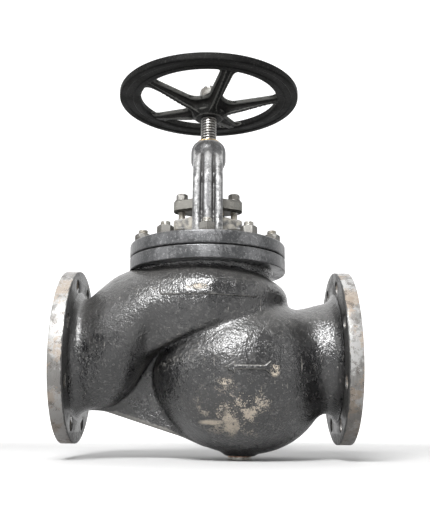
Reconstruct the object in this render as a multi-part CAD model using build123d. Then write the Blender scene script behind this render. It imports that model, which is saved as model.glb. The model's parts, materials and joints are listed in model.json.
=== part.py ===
from build123d import *
from math import cos, radians, sin
import os

# Flanged globe valve, nominal bore 150, pressure class 16, rising stem and handwheel.
# Working frame: stem axis on Z at X = 0, pipe axis on X at Z = 0, outlet on the left (-X).
# Everything is drawn open, and moved at export so that the origin is where the pipe axis
# crosses the plane of the outlet flange, 3 mm behind its raised face.

# ---- Driving dimensions (millimetres) ----------------------------------------------------
FACE_TO_FACE = 480
HALF = FACE_TO_FACE / 2
BORE_R = 75
WALL = 13

PIPE_FLANGE_R = 142.5
PIPE_FLANGE_THICK = 26
RAISED_FACE_R = 106
RAISED_FACE_H = 3
PIPE_BOLT_PCD = 240
PIPE_BOLT_COUNT = 8
PIPE_BOLT_HOLE_R = 11.5

BONNET_FLANGE_R = 134
BODY_FLANGE_BOTTOM = 142.5
SPLIT_Z = 164
GASKET_THICK = 2
BONNET_FLANGE_TOP = 188.5
BONNET_STUD_COUNT = 10
BONNET_STUD_PCD = 230
BONNET_STUD_R = 8
BONNET_STUD_BOTTOM = 147
BONNET_STUD_TOP = 211
BONNET_NUT_AF = 24
BONNET_NUT_H = 14.8
BODY_MOUTH_R = 98

LIFT = 38
STEM_R = 14
STEM_TOP = 494
STEM_BORE_R = STEM_R + 0.08
THREAD_PITCH = 5
THREAD_ROOT_R = 11.6
THREAD_LOW = 325
THREAD_HIGH = 425
SEAT_FACE_Z = 38
SEAT_BORE_R = 71
SEAT_RING_R = 86
DISC_R = 84
DISC_BOTTOM = SEAT_FACE_Z + LIFT + 0.05

BOX_BORE_R = 22
BOX_FLOOR_Z = 200
BOX_TOP_Z = 238
BASE_RING_H = 4
PACKING_RING_H = 6.5
PACKING_RING_COUNT = 4
GLAND_WAIST_R = 34
GLAND_END_R = 14.5
GLAND_BOTTOM = 252.5
GLAND_TOP = 272.5
GLAND_COLLAR_R = 27
GLAND_RECESS_H = 5
GLAND_STUD_X = 46
GLAND_STUD_R = 6
GLAND_STUD_BOTTOM = 222
GLAND_STUD_TOP = 287.5
GLAND_WASHER_R = 12
GLAND_WASHER_H = 2.5
GLAND_NUT_AF = 18
GLAND_NUT_H = 10.8

HEAD_R = 31
HEAD_BOTTOM = 333
HEAD_TOP = 386
YOKE_BUSH_R = 20
ARM_HALF_WIDTH = 24.5
GRUB_SCREW_R = 3
GRUB_SCREW_Z = 352

WHEEL_R = 162
WHEEL_INNER_R = 124
RIM_BOTTOM = 463.5
RIM_TOP = 477
HUB_BOTTOM = 430
HUB_TOP = 466
HUB_R = 31
SPOKE_COUNT = 5
SPOKE_FIRST_DEG = -2
SPOKE_HALF_WIDTH = 12
WHEEL_SEAT_R = 11
WHEEL_NUT_R = 10
WHEEL_NUT_AF = 30
WHEEL_NUT_H = 16
WHEEL_WASHER_R = 18
KEY_HALF_WIDTH = 3
KEY_BOTTOM = 436
KEY_TOP = 462

# Outer skin of the casting: two overlapping balls below, a round-ended chamber above.
BALL_1 = (50, -16, 139.5)
BALL_2 = (75, -29, 127.5)
CHAMBER_X = 13
CHAMBER_R = 130
CHAMBER_TOP = 137
CHAMBER_CORNER = 34
SLOPE_Z = 24
SLOPE_DEG = 16.2
DRAIN_X = 55
DRAIN_BOSS_R = 24
DRAIN_FACE_Z = -160
DRAIN_THREAD_R = 13
DRAIN_WASHER_R = 19.5
DRAIN_WASHER_H = 1.5
DRAIN_HEAD_R = 19
DRAIN_HEAD_H = 5


# ---- Small helpers -----------------------------------------------------------------------
def upright(radius, low, high, x=0, y=0):
    """A cylinder along Z between two heights."""
    place = (Align.CENTER, Align.CENTER, Align.MIN)
    return Pos(x, y, low) * Cylinder(radius, high - low, align=place)


def lying(radius, start, end):
    """A cylinder along the pipe axis between two X stations."""
    place = (Align.CENTER, Align.CENTER, Align.MIN)
    return Pos(start, 0, 0) * Rot(0, 90, 0) * Cylinder(radius, end - start, align=place)


def slab(x_range, y_range, z_range):
    """A box given by its three ranges."""
    size = [high - low for low, high in (x_range, y_range, z_range)]
    middle = [(high + low) / 2 for low, high in (x_range, y_range, z_range)]
    return Pos(*middle) * Box(*size)


def turned(points):
    """A turned piece about Z, from radius and height pairs."""
    face = Plane.XZ * make_face(Polyline(*points, close=True))
    return revolve(face, Axis.Z)


def around(radius, count, first_deg):
    """Evenly spaced X, Y places on a circle."""
    angles = [radians(first_deg + 360 * i / count) for i in range(count)]
    return [(radius * cos(a), radius * sin(a)) for a in angles]


def nut(across_flats, height, hole_r, z, x, y):
    """A hexagon nut with chamfered corners, standing on height z."""
    blank = extrude(RegularPolygon(across_flats / 2, 6, major_radius=False), height)
    corner = across_flats * 0.577
    low = 0.12 * across_flats
    cap = turned([(0, 0), (corner, 0), (corner, height - low), (corner - low, height), (0, height)])
    return Pos(x, y, z) * ((blank & cap) - upright(hole_r, -1, height + 1))


def oval(x, low, high, half_width):
    """An elliptical section across the pipe axis, between two heights."""
    plane = Plane(origin=(x, 0, (low + high) / 2), x_dir=(0, 1, 0), z_dir=(1, 0, 0))
    return plane * Ellipse(half_width, (high - low) / 2)


def save(shape, node):
    """Write one node, with the centre of the outlet flange's bolt circle as the origin."""
    export_step(Pos(HALF - RAISED_FACE_H, 0, 0) * shape, f"parts/{node}.step")


# ---- Body casting ------------------------------------------------------------------------
def ball(spec, skin=0.0):
    """One lobe of the lower chamber, less a wall thickness."""
    x, z, radius = spec
    return Pos(x, 0, z) * Sphere(radius - skin)


def above_slope(offset):
    """Everything above the sloping floor of the upper chamber, raised by the offset."""
    block = slab((-400, 400), (-200, 200), (0, 400))
    return Pos(0, 0, SLOPE_Z + offset) * Rot(0, -SLOPE_DEG, 0) * block


def chamber(skin=0.0):
    """The round end of the upper chamber, with a rounded top and a sloping floor."""
    radius = CHAMBER_R - skin
    drum = upright(radius, -60, CHAMBER_TOP - skin, CHAMBER_X)
    drum = fillet(drum.edges().group_by(Axis.Z)[-1], CHAMBER_CORNER - skin * 0.6)
    return drum & above_slope(skin)


def outlet_arm(skin=0.0):
    """The passage from the outlet neck up into the upper chamber, as oval sections along X."""
    stations = [
        (-219, -92, 92, 92),
        (-200, -90, 95, 93),
        (-180, -88, 114, 99),
        (-155, -83, 135, 109),
        (-127, -62, 147, 118),
        (-108, -33, 147, 122),
        (-88, 4, 143, 124),
        (-45, 20, 138, 125),
        (CHAMBER_X - 5, 42, 130, 122),
    ]
    return loft([oval(x, low + skin, high - skin, width - skin) for x, low, high, width in stations])


def inlet_neck():
    """The short flared neck between the inlet flange and the lower chamber."""
    profile = [(219, 97), (208, 94), (195, 90), (177, 86), (160, 81), (147, 75), (120, 62)]
    outline = [(120, 0), (219, 0)] + profile
    return revolve(Plane.XZ * make_face(Polyline(*outline, close=True)), Axis.X)


def pipe_flange(side):
    """A pipe flange with a raised face, side +1 for the inlet and -1 for the outlet."""
    back = HALF - PIPE_FLANGE_THICK
    rim = lying(PIPE_FLANGE_R, back, HALF - RAISED_FACE_H)
    rim = chamfer(rim.edges().filter_by(GeomType.CIRCLE), 1.5)
    face = lying(RAISED_FACE_R, back, HALF)
    whole = rim + face
    return whole if side > 0 else Rot(0, 0, 180) * whole


def pipe_bolt_holes():
    """The bolt holes of both pipe flanges, straddling the centre lines."""
    inner = HALF - PIPE_FLANGE_THICK - 14
    outer = HALF + 5
    holes = []
    for y, z in around(PIPE_BOLT_PCD / 2, PIPE_BOLT_COUNT, 180 / PIPE_BOLT_COUNT):
        for start, end in ((-outer, -inner), (inner, outer)):
            holes.append(Pos(0, y, z) * lying(PIPE_BOLT_HOLE_R, start, end))
    return holes


def web_plate():
    """The flat stiffening web between the outlet neck and the lower chamber."""
    corners = [(-182, -86), (-8, -141), (0, -60), (-60, 0), (-110, 10), (-160, -40)]
    face = Plane.XZ * make_face(Polyline(*corners, close=True))
    return extrude(face, 7, both=True)


def drain_boss():
    """The round boss under the lower chamber that takes the drain plug."""
    outline = [(0, -120), (40, -120), (DRAIN_BOSS_R + 4, -152)]
    outline += [(DRAIN_BOSS_R, DRAIN_FACE_Z), (0, DRAIN_FACE_Z)]
    return turned(outline)


def raised_marks():
    """A blank raised name pad on the upper chamber, and the flow arrow on the lower one."""
    low, high = 84, 111
    pad = slab((-110, CHAMBER_X), (-131.2, 0), (low, high)) + upright(CHAMBER_R + 2, low, high, CHAMBER_X)
    pad -= slab((-120, CHAMBER_X), (-123, 10), (0, 200))
    pad -= upright(CHAMBER_R - 6, 0, 200, CHAMBER_X)
    pad &= slab((-72, 80), (-140, -60), (low, high))
    points = [(28, -26), (44, -17), (44, -23), (88, -23), (98, -16)]
    points += [(98, -36), (88, -29), (44, -29), (44, -35)]
    prism = extrude(Plane.XZ * make_face(Polyline(*points, close=True)), 160)
    arrow = (prism & ball(BALL_1, -2.0)) - ball(BALL_1, 5)
    return pad, arrow


def passages():
    """The S-shaped flow passage: outlet side above the seat, inlet side below it."""
    upper = outlet_arm(WALL) + (chamber(WALL) & slab((-400, 400), (-200, 200), (30, 400)))
    upper += lying(BORE_R, -HALF - 5, -HALF + 45)
    upper += upright(BODY_MOUTH_R, 70, SPLIT_Z + 5)
    upper += upright(SEAT_RING_R + 7, 30, 90)

    taper = [(HALF + 5, BORE_R), (HALF - 40, BORE_R), (190, 73), (150, 66), (110, 58)]
    outline = [(110, 0), (HALF + 5, 0)] + taper
    lower = revolve(Plane.XZ * make_face(Polyline(*outline, close=True)), Axis.X)
    lower += ball(BALL_1, WALL) + ball(BALL_2, WALL)
    lower -= above_slope(-2)
    lower -= upright(SEAT_RING_R + 20, 12, 200)
    return upper, lower


def body():
    """The cast body with its passages, seat hole, flanges and tapped holes."""
    shape = ball(BALL_1) + ball(BALL_2)
    shape += inlet_neck()
    shape += outlet_arm()
    shape += chamber()
    shape += web_plate()
    shape += Pos(DRAIN_X, 0, 0) * drain_boss()
    top = upright(BONNET_FLANGE_R, BODY_FLANGE_BOTTOM, SPLIT_Z)
    shape += chamfer(top.edges().filter_by(GeomType.CIRCLE), 1.2)
    shape += upright(108, 120, SPLIT_Z - 5)
    shape -= slab((-300, 300), (-200, 200), (SPLIT_Z, 300))
    shape += pipe_flange(1)
    shape += pipe_flange(-1)
    upper, lower = passages()
    shape -= upper
    shape -= lower
    shape -= upright(SEAT_RING_R - 6, 5, 60)
    shape -= upright(DRAIN_THREAD_R, DRAIN_FACE_Z - 5, -120, DRAIN_X)
    for hole in pipe_bolt_holes():
        shape -= hole
    for x, y in around(BONNET_STUD_PCD / 2, BONNET_STUD_COUNT, -90):
        shape -= upright(BONNET_STUD_R, BONNET_STUD_BOTTOM - 2, SPLIT_Z + 5, x, y)
    for mark in raised_marks():
        shape += mark
    return shape


# ---- Seat, bonnet and yoke ---------------------------------------------------------------
def seat_ring():
    """Bronze seat ring screwed into the partition, with two slots for the fitting tool."""
    ring = turned([
        (SEAT_BORE_R, 10), (SEAT_RING_R - 6, 10), (SEAT_RING_R - 6, 30), (SEAT_RING_R, 30),
        (SEAT_RING_R, 36), (SEAT_RING_R - 3, SEAT_FACE_Z), (SEAT_BORE_R + 2, SEAT_FACE_Z),
        (SEAT_BORE_R, 36),
    ])
    ring -= slab((-4, 4), (-74, 74), (0, 16))
    return ring


def yoke_arm():
    """One arm of the yoke, at the back: a web with three raised ribs on its outer side."""
    inner = [(60, 186), (52, 215), (47, 240), (47, 300), (34, 336), (24, 348)]
    web = inner + [(24, 372), (40, 352), (58, 306), (59, 240), (66, 215), (80, 186)]
    rib = inner + [(24, 378), (46, 352), (65, 306), (66, 240), (74, 215), (92, 186)]
    arm = extrude(Plane.YZ * make_face(Polyline(*web, close=True)), ARM_HALF_WIDTH, both=True)
    rib_face = Plane.YZ * make_face(Polyline(*rib, close=True))
    for middle, half_width in ((-18.5, 6), (0, 7.5), (18.5, 6)):
        arm += Pos(middle, 0, 0) * extrude(rib_face, half_width, both=True)
    return arm


def gland_outline():
    """The waisted outline shared by the gland flange and the lugs that its studs stand in."""
    edges = Circle(GLAND_WAIST_R).edges()
    for side in (-1, 1):
        edges += (Pos(side * GLAND_STUD_X, 0) * Circle(GLAND_END_R)).edges()
    return make_hull(edges)


def yoke_head():
    """The round head that joins both yoke arms and holds the stem nut."""
    return turned([
        (0, HEAD_BOTTOM), (25.6, HEAD_BOTTOM), (HEAD_R, HEAD_BOTTOM + 13), (HEAD_R, 366), (30, 372),
        (27, 378), (22, 383), (17, HEAD_TOP), (0, HEAD_TOP),
    ])


def bonnet_neck():
    """The dome that rises from the bonnet flange into the stuffing box."""
    return turned([
        (0, 180), (84, 180), (78, 190), (60, 199), (44, 212), (GLAND_WAIST_R, 224),
        (GLAND_WAIST_R, BOX_TOP_Z), (0, BOX_TOP_Z),
    ])


def bonnet_hollow():
    """The space above the disc, the bush seat and the stuffing box bore, as one core."""
    bush_r = 19.5
    return turned([
        (0, 150), (70, 150), (70, 164), (58, 176), (26, 178), (26, 182), (bush_r, 182),
        (bush_r, BOX_FLOOR_Z), (BOX_BORE_R, BOX_FLOOR_Z), (BOX_BORE_R, BOX_TOP_Z + 5), (0, BOX_TOP_Z + 5),
    ])


def bonnet():
    """Bonnet, stuffing box, gland lugs, yoke arms and yoke head, cast in one."""
    flange = upright(BONNET_FLANGE_R, SPLIT_Z + GASKET_THICK, BONNET_FLANGE_TOP)
    shape = fillet(flange.edges().group_by(Axis.Z)[-1], 4)
    spigot_low = SPLIT_Z - 6
    shape += upright(BODY_MOUTH_R - 0.5, spigot_low, SPLIT_Z + 6)
    shape += bonnet_neck()
    lug_bottom = 219
    shape += Pos(0, 0, lug_bottom) * extrude(gland_outline(), BOX_TOP_Z - lug_bottom)
    arm = yoke_arm()
    shape += arm
    shape += Rot(0, 0, 180) * arm
    shape += yoke_head()
    shape -= bonnet_hollow()
    shape -= upright(YOKE_BUSH_R, HEAD_BOTTOM - 10, HEAD_TOP + 5)
    for x, y in around(BONNET_STUD_PCD / 2, BONNET_STUD_COUNT, -90):
        shape -= upright(BONNET_STUD_R + 1, 150, 200, x, y)
    for side in (-1, 1):
        shape -= upright(GLAND_STUD_R, GLAND_STUD_BOTTOM, BOX_TOP_Z + 5, side * GLAND_STUD_X)
    return shape - grub_screw_hole()


def grub_screw_hole():
    """The hole through the yoke head and into the stem nut, along the pipe axis."""
    return Pos(0, 0, GRUB_SCREW_Z) * lying(GRUB_SCREW_R, YOKE_BUSH_R - 3, HEAD_R + 5)


def bonnet_gasket():
    """Flat gasket between the two bonnet flanges, inside the bolt circle."""
    ring = upright(BONNET_STUD_PCD / 2 - BONNET_STUD_R - 1, SPLIT_Z, SPLIT_Z + GASKET_THICK)
    return ring - upright(BODY_MOUTH_R, SPLIT_Z - 1, SPLIT_Z + GASKET_THICK + 1)


def bonnet_studs():
    """Studs screwed into the body flange."""
    places = around(BONNET_STUD_PCD / 2, BONNET_STUD_COUNT, -90)
    studs = []
    for x, y in places:
        stud = upright(BONNET_STUD_R, BONNET_STUD_BOTTOM, BONNET_STUD_TOP, x, y)
        studs.append(chamfer(stud.edges().filter_by(GeomType.CIRCLE), 1.2))
    return Compound(studs)


def bonnet_nuts():
    """Hexagon nuts on the bonnet studs."""
    nuts = []
    for x, y in around(BONNET_STUD_PCD / 2, BONNET_STUD_COUNT, -90):
        nuts.append(nut(BONNET_NUT_AF, BONNET_NUT_H, BONNET_STUD_R, BONNET_FLANGE_TOP, x, y))
    return Compound(nuts)


# ---- Stuffing box and gland --------------------------------------------------------------
def backseat_bush():
    """Bronze bush in the bonnet that the stem collar meets when the valve is fully open."""
    return turned([
        (STEM_BORE_R, 178), (26, 178), (26, 182), (19.5, 182), (19.5, BOX_FLOOR_Z),
        (STEM_BORE_R, BOX_FLOOR_Z),
    ])


def ring_about_stem(low, high):
    """A ring that fills the stuffing box round the stem."""
    return upright(BOX_BORE_R, low, high) - upright(STEM_BORE_R, low - 1, high + 1)


def packing_base_ring():
    """Metal ring on the floor of the stuffing box."""
    return ring_about_stem(BOX_FLOOR_Z, BOX_FLOOR_Z + BASE_RING_H)


def packing_rings():
    """Square braided packing rings, stacked."""
    first = BOX_FLOOR_Z + BASE_RING_H
    steps = [first + i * PACKING_RING_H for i in range(PACKING_RING_COUNT + 1)]
    return Compound([ring_about_stem(low, high) for low, high in zip(steps[:-1], steps[1:])])


def gland_bush():
    """Follower that presses on the packing, with a collar under the gland flange."""
    low = BOX_FLOOR_Z + BASE_RING_H + PACKING_RING_COUNT * PACKING_RING_H
    high = GLAND_BOTTOM + GLAND_RECESS_H
    return turned([
        (STEM_BORE_R, low), (BOX_BORE_R - 0.2, low), (BOX_BORE_R - 0.2, 250), (GLAND_COLLAR_R, 250),
        (GLAND_COLLAR_R, high), (STEM_BORE_R, high),
    ])


def gland_flange():
    """Oval gland flange, pulled down by two studs."""
    plate = Pos(0, 0, GLAND_BOTTOM) * extrude(gland_outline(), GLAND_TOP - GLAND_BOTTOM)
    plate = fillet(plate.edges().group_by(Axis.Z)[-1], 2.5)
    plate -= upright(GLAND_COLLAR_R, GLAND_BOTTOM - 1, GLAND_BOTTOM + GLAND_RECESS_H)
    plate -= upright(18, GLAND_BOTTOM - 1, GLAND_TOP + 1)
    for side in (-1, 1):
        plate -= upright(GLAND_STUD_R + 1, GLAND_BOTTOM - 1, GLAND_TOP + 1, side * GLAND_STUD_X)
    return plate


def gland_studs():
    """Two studs screwed into the bonnet lugs."""
    studs = []
    for side in (-1, 1):
        stud = upright(GLAND_STUD_R, GLAND_STUD_BOTTOM, GLAND_STUD_TOP, side * GLAND_STUD_X)
        studs.append(chamfer(stud.edges().filter_by(GeomType.CIRCLE), 1))
    return Compound(studs)


def gland_washers():
    """Plain washers under the gland nuts."""
    rings = []
    for side in (-1, 1):
        x = side * GLAND_STUD_X
        ring = upright(GLAND_WASHER_R, GLAND_TOP, GLAND_TOP + GLAND_WASHER_H, x)
        rings.append(ring - upright(GLAND_STUD_R + 0.5, GLAND_TOP - 1, GLAND_TOP + 4, x))
    return Compound(rings)


def gland_nuts():
    """Hexagon nuts on the gland studs."""
    base = GLAND_TOP + GLAND_WASHER_H
    nuts = []
    for side in (-1, 1):
        nuts.append(nut(GLAND_NUT_AF, GLAND_NUT_H, GLAND_STUD_R, base, side * GLAND_STUD_X, 0))
    return Compound(nuts)


def yoke_bush():
    """Bronze stem nut pressed up into the yoke head, with a collar below."""
    bush = turned([
        (STEM_BORE_R, HEAD_BOTTOM - 5), (24, HEAD_BOTTOM - 5), (24, HEAD_BOTTOM),
        (YOKE_BUSH_R, HEAD_BOTTOM), (YOKE_BUSH_R, HEAD_TOP - 1), (STEM_BORE_R, HEAD_TOP - 1),
    ])
    return bush - grub_screw_hole()


def yoke_bush_grub_screw():
    """Grub screw through the yoke head that stops the stem nut turning."""
    return Pos(0, 0, GRUB_SCREW_Z) * lying(GRUB_SCREW_R, YOKE_BUSH_R - 3, HEAD_R - 0.5)


# ---- Disc, stem and handwheel ------------------------------------------------------------
def disc():
    """Closing disc with a recess for its seat ring and a socket for the stem head."""
    low = DISC_BOTTOM
    shape = turned([
        (0, low + 2), (66, low + 2), (70, low + 6), (DISC_R, low + 6), (DISC_R, low + 20),
        (DISC_R - 6, low + 24), (48, low + 28), (34, low + 34), (34, low + 46), (0, low + 46),
    ])
    shape -= upright(20.6, low + 7, low + 20)
    shape -= upright(26, low + 19.5, low + 50)
    shape -= Pos(0, 0, low + 40) * lying(2.5, 18, 40)
    return shape


def disc_seat_ring():
    """Bronze facing ring rolled into the underside of the disc."""
    low = DISC_BOTTOM
    return turned([(70, low), (DISC_R, low), (DISC_R, low + 6), (70, low + 6)])


def disc_thrust_pad():
    """Hardened pad in the socket, under the stem tip."""
    return upright(12, DISC_BOTTOM + 7, DISC_BOTTOM + 9.9)


def disc_nut():
    """Screwed ring that holds the stem head in the disc."""
    low = DISC_BOTTOM + 20.3
    shape = upright(26, low, DISC_BOTTOM + 54) - upright(STEM_R + 0.3, low - 1, DISC_BOTTOM + 60)
    shape -= Pos(0, 0, DISC_BOTTOM + 40) * lying(2.5, 22, 40)
    return shape


def disc_nut_lock_pin():
    """Pin through the disc hub that keeps the disc nut from unscrewing."""
    return Pos(0, 0, DISC_BOTTOM + 40) * lying(2.5, 22, 36)


def stem():
    """Stem with its captive head, back-seat collar, thread and wheel seat."""
    low = DISC_BOTTOM + 10
    points = [(0, low), (8, low), (12, low + 2), (20, low + 2), (20, low + 9.7), (STEM_R, low + 9.7)]
    points += [(STEM_R, 168), (20, 174), (20, 177.5), (STEM_R, 177.5), (STEM_R, 323)]
    for z in range(THREAD_LOW, THREAD_HIGH, THREAD_PITCH):
        points += [(THREAD_ROOT_R, z), (THREAD_ROOT_R, z + 1.6), (STEM_R, z + 2.4), (STEM_R, z + 4.2)]
    points += [(STEM_R, 429.5), (WHEEL_SEAT_R, 429.5), (WHEEL_SEAT_R, 470), (WHEEL_NUT_R, 471)]
    points += [(WHEEL_NUT_R, STEM_TOP - 2), (WHEEL_NUT_R - 1.5, STEM_TOP), (0, STEM_TOP)]
    return turned(points) - slab((-KEY_HALF_WIDTH, KEY_HALF_WIDTH), (7.5, 12), (KEY_BOTTOM, KEY_TOP))


def wheel_rim():
    """Flat rim, with one shallow groove round its underside."""
    low = RIM_BOTTOM
    return turned([
        (WHEEL_INNER_R, low + 2), (WHEEL_INNER_R + 3, low), (138, low), (139, low + 1.2),
        (150, low + 1.2), (151, low), (WHEEL_R - 4, low), (WHEEL_R, low + 4),
        (WHEEL_R, RIM_TOP - 5), (WHEEL_R - 5, RIM_TOP), (WHEEL_INNER_R + 5, RIM_TOP),
        (WHEEL_INNER_R, RIM_TOP - 4),
    ])


def wheel_hub():
    """Hub with a tapered lower end."""
    return turned([
        (0, HUB_BOTTOM), (25, HUB_BOTTOM), (HUB_R, HUB_BOTTOM + 10), (HUB_R, HUB_TOP - 4),
        (HUB_R - 4, HUB_TOP), (0, HUB_TOP),
    ])


def wheel_windows():
    """The five openings between the spokes, with rounded corners."""
    windows = Circle(WHEEL_INNER_R + 0.5) - Circle(HUB_R + 9)
    bar = Pos(WHEEL_INNER_R / 2 + 20, 0) * Rectangle(WHEEL_INNER_R + 40, 2 * SPOKE_HALF_WIDTH)
    for i in range(SPOKE_COUNT):
        windows -= Rot(0, 0, SPOKE_FIRST_DEG + 360 * i / SPOKE_COUNT) * bar
    outer = windows.vertices().filter_by(lambda v: Vector(v.X, v.Y).length > 80)
    windows = fillet(outer, 10)
    inner = windows.vertices().filter_by(lambda v: Vector(v.X, v.Y).length < 60)
    return fillet(inner, 5)


def spoke_rib():
    """The rib under one spoke, deepest at the hub."""
    far = WHEEL_INNER_R + 2
    outline = Polyline((20, 436), (60, 446), (far, 465), (far, 468), (20, 452), close=True)
    return extrude(Plane.XZ * make_face(outline), 4.5, both=True)


def handwheel():
    """Cast wheel: hub, five ribbed spokes and a flat rim, with a keyed bore."""
    far = WHEEL_INNER_R + 4
    plate = turned([(HUB_R - 6, 450), (far, 466), (far, 474), (HUB_R - 6, 459)])
    plate -= Pos(0, 0, HUB_BOTTOM) * extrude(wheel_windows(), 60)
    wheel = wheel_rim() + wheel_hub() + plate
    rib = spoke_rib()
    for i in range(SPOKE_COUNT):
        wheel += Rot(0, 0, SPOKE_FIRST_DEG + 360 * i / SPOKE_COUNT) * rib
    wheel -= upright(WHEEL_SEAT_R, 400, 500)
    return wheel - slab((-KEY_HALF_WIDTH, KEY_HALF_WIDTH), (7.5, 14), (400, 500))


def handwheel_key():
    """Parallel key between stem and hub."""
    return slab((-KEY_HALF_WIDTH, KEY_HALF_WIDTH), (7.5, 13.8), (KEY_BOTTOM, KEY_TOP))


def handwheel_washer():
    """Plain washer on top of the hub."""
    ring = upright(WHEEL_WASHER_R, HUB_TOP, HUB_TOP + 3)
    return ring - upright(WHEEL_SEAT_R, HUB_TOP - 1, HUB_TOP + 5)


def handwheel_nut():
    """Hexagon nut that holds the wheel on the stem."""
    return nut(WHEEL_NUT_AF, WHEEL_NUT_H, WHEEL_NUT_R, 471.5, 0, 0)


# ---- Drain -------------------------------------------------------------------------------
def drain_washer():
    """Copper sealing washer under the drain plug."""
    ring = upright(DRAIN_WASHER_R, DRAIN_FACE_Z - DRAIN_WASHER_H, DRAIN_FACE_Z, DRAIN_X)
    return ring - upright(DRAIN_THREAD_R, DRAIN_FACE_Z - 3, DRAIN_FACE_Z + 1, DRAIN_X)


def drain_plug():
    """Round-headed screw plug with a hexagon socket."""
    top = DRAIN_FACE_Z - DRAIN_WASHER_H
    head = upright(DRAIN_HEAD_R, top - DRAIN_HEAD_H, top, DRAIN_X)
    head = chamfer(head.edges().group_by(Axis.Z)[0], 1)
    shape = head + upright(DRAIN_THREAD_R, top, -141, DRAIN_X)
    socket = extrude(RegularPolygon(5, 6, major_radius=False), 8)
    return shape - Pos(DRAIN_X, 0, top - DRAIN_HEAD_H - 0.5) * socket


PIECES = [
    body, seat_ring, bonnet, bonnet_gasket, bonnet_studs, bonnet_nuts, backseat_bush, packing_base_ring,
    packing_rings, gland_bush, gland_flange, gland_studs, gland_washers, gland_nuts, yoke_bush,
    yoke_bush_grub_screw, drain_washer, drain_plug, disc, disc_seat_ring, disc_thrust_pad, disc_nut,
    disc_nut_lock_pin, stem, handwheel, handwheel_key, handwheel_washer, handwheel_nut,
]

os.makedirs("parts", exist_ok=True)
for piece in PIECES:
    save(piece(), piece.__name__)
    print("wrote", piece.__name__)
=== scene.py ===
# %% [markdown]
# A flanged globe valve with a rising stem and a handwheel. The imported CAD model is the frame:
# it fixes every size, place and joint. This script adds the looks: the rough cast skin, machined
# flanges, threads, nuts, the cast wheel and the worn finishes. It opens by loading the frame.

# %% Load the frame
import json
from math import cos, pi, radians, sin, tan

import bmesh
import bpy
import numpy as np
from mathutils import Matrix, Vector


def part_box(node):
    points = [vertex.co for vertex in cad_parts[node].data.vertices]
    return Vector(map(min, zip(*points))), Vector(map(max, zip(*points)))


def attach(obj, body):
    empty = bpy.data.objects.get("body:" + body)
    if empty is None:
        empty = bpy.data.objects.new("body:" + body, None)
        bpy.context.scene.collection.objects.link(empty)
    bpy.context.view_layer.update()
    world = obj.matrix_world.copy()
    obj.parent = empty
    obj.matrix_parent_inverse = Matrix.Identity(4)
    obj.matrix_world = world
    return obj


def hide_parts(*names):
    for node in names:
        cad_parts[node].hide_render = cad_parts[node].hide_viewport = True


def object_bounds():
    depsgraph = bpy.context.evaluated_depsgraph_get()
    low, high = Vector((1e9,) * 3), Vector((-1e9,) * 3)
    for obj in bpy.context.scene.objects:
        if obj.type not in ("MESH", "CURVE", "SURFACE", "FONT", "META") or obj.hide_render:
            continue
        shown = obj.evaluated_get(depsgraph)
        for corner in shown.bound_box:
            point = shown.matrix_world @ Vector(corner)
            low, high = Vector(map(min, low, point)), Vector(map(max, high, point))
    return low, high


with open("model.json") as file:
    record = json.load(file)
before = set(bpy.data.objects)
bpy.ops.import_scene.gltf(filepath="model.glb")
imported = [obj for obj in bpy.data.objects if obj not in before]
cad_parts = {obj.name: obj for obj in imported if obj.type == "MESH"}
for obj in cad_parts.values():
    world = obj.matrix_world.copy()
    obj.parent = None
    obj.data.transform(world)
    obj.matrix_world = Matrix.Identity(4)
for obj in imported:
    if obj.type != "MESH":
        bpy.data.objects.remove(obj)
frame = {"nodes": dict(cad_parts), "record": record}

CAD_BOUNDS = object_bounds()
print("frame box", CAD_BOUNDS)

# %% [markdown]
# Most shapes are easiest to think of in millimetres, measured from the point where the stem
# axis crosses the pipe axis. The row frame is in metres from the outlet face, so every point
# is moved by the stem's own X before it goes into a mesh.

# %% Working numbers read from the frame
MM = 0.001
STEM_X = (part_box("stem")[0][0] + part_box("stem")[1][0]) / 2


def box_mm(node):
    """A CAD node's lowest and highest corners in millimetres from the stem and pipe axes."""
    low, high = (np.array(corner) - (STEM_X, 0, 0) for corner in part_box(node))
    return low / MM, high / MM


BODY_LOW, BODY_HIGH = box_mm("body")
HALF_LENGTH = BODY_HIGH[0]
PIPE_FLANGE_R = BODY_HIGH[1]
SPLIT_Z = BODY_HIGH[2]
FLANGE_TOP = box_mm("bonnet_nuts")[0][2]
BONNET_R = box_mm("bonnet")[1][1]
print("stem at x", round(STEM_X, 4), "face to face", round(2 * HALF_LENGTH, 2))
print("split at z", round(SPLIT_Z, 2))

# %% [markdown]
# The camera stands a little below the pipe axis and looks up, so the undersides of the bonnet
# flange and the wheel show. Its place and direction are set by a matrix: the first column
# points right, the second up, and the third back towards the viewer.

# %% Camera
CAMERA_AT = np.array((14.96, -1210.996, -103.149))
CAMERA_PITCH = radians(12.937)
CAMERA_YAW = radians(-0.098)
CAMERA_ROLL = radians(0.335)
CAMERA_LENS = 50.146


def make_camera():
    """A camera from a place, a yaw, a pitch above the horizon and a roll."""
    forward = np.array((
        sin(CAMERA_YAW) * cos(CAMERA_PITCH),
        cos(CAMERA_YAW) * cos(CAMERA_PITCH),
        sin(CAMERA_PITCH),
    ))
    right = np.array((cos(CAMERA_YAW), -sin(CAMERA_YAW), 0))
    up = np.cross(right, forward)
    rolled_right = cos(CAMERA_ROLL) * right + sin(CAMERA_ROLL) * up
    rolled_up = -sin(CAMERA_ROLL) * right + cos(CAMERA_ROLL) * up
    matrix = np.eye(4)
    matrix[:3, 0], matrix[:3, 1], matrix[:3, 2] = rolled_right, rolled_up, -forward
    matrix[:3, 3] = CAMERA_AT * MM + (STEM_X, 0, 0)
    data = bpy.data.cameras.new("camera")
    data.lens = CAMERA_LENS
    data.sensor_width = 36
    data.clip_end = 50
    camera = bpy.data.objects.new("camera", data)
    camera.matrix_world = Matrix(matrix.tolist())
    bpy.context.scene.collection.objects.link(camera)
    bpy.context.scene.camera = camera
    return camera


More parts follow.
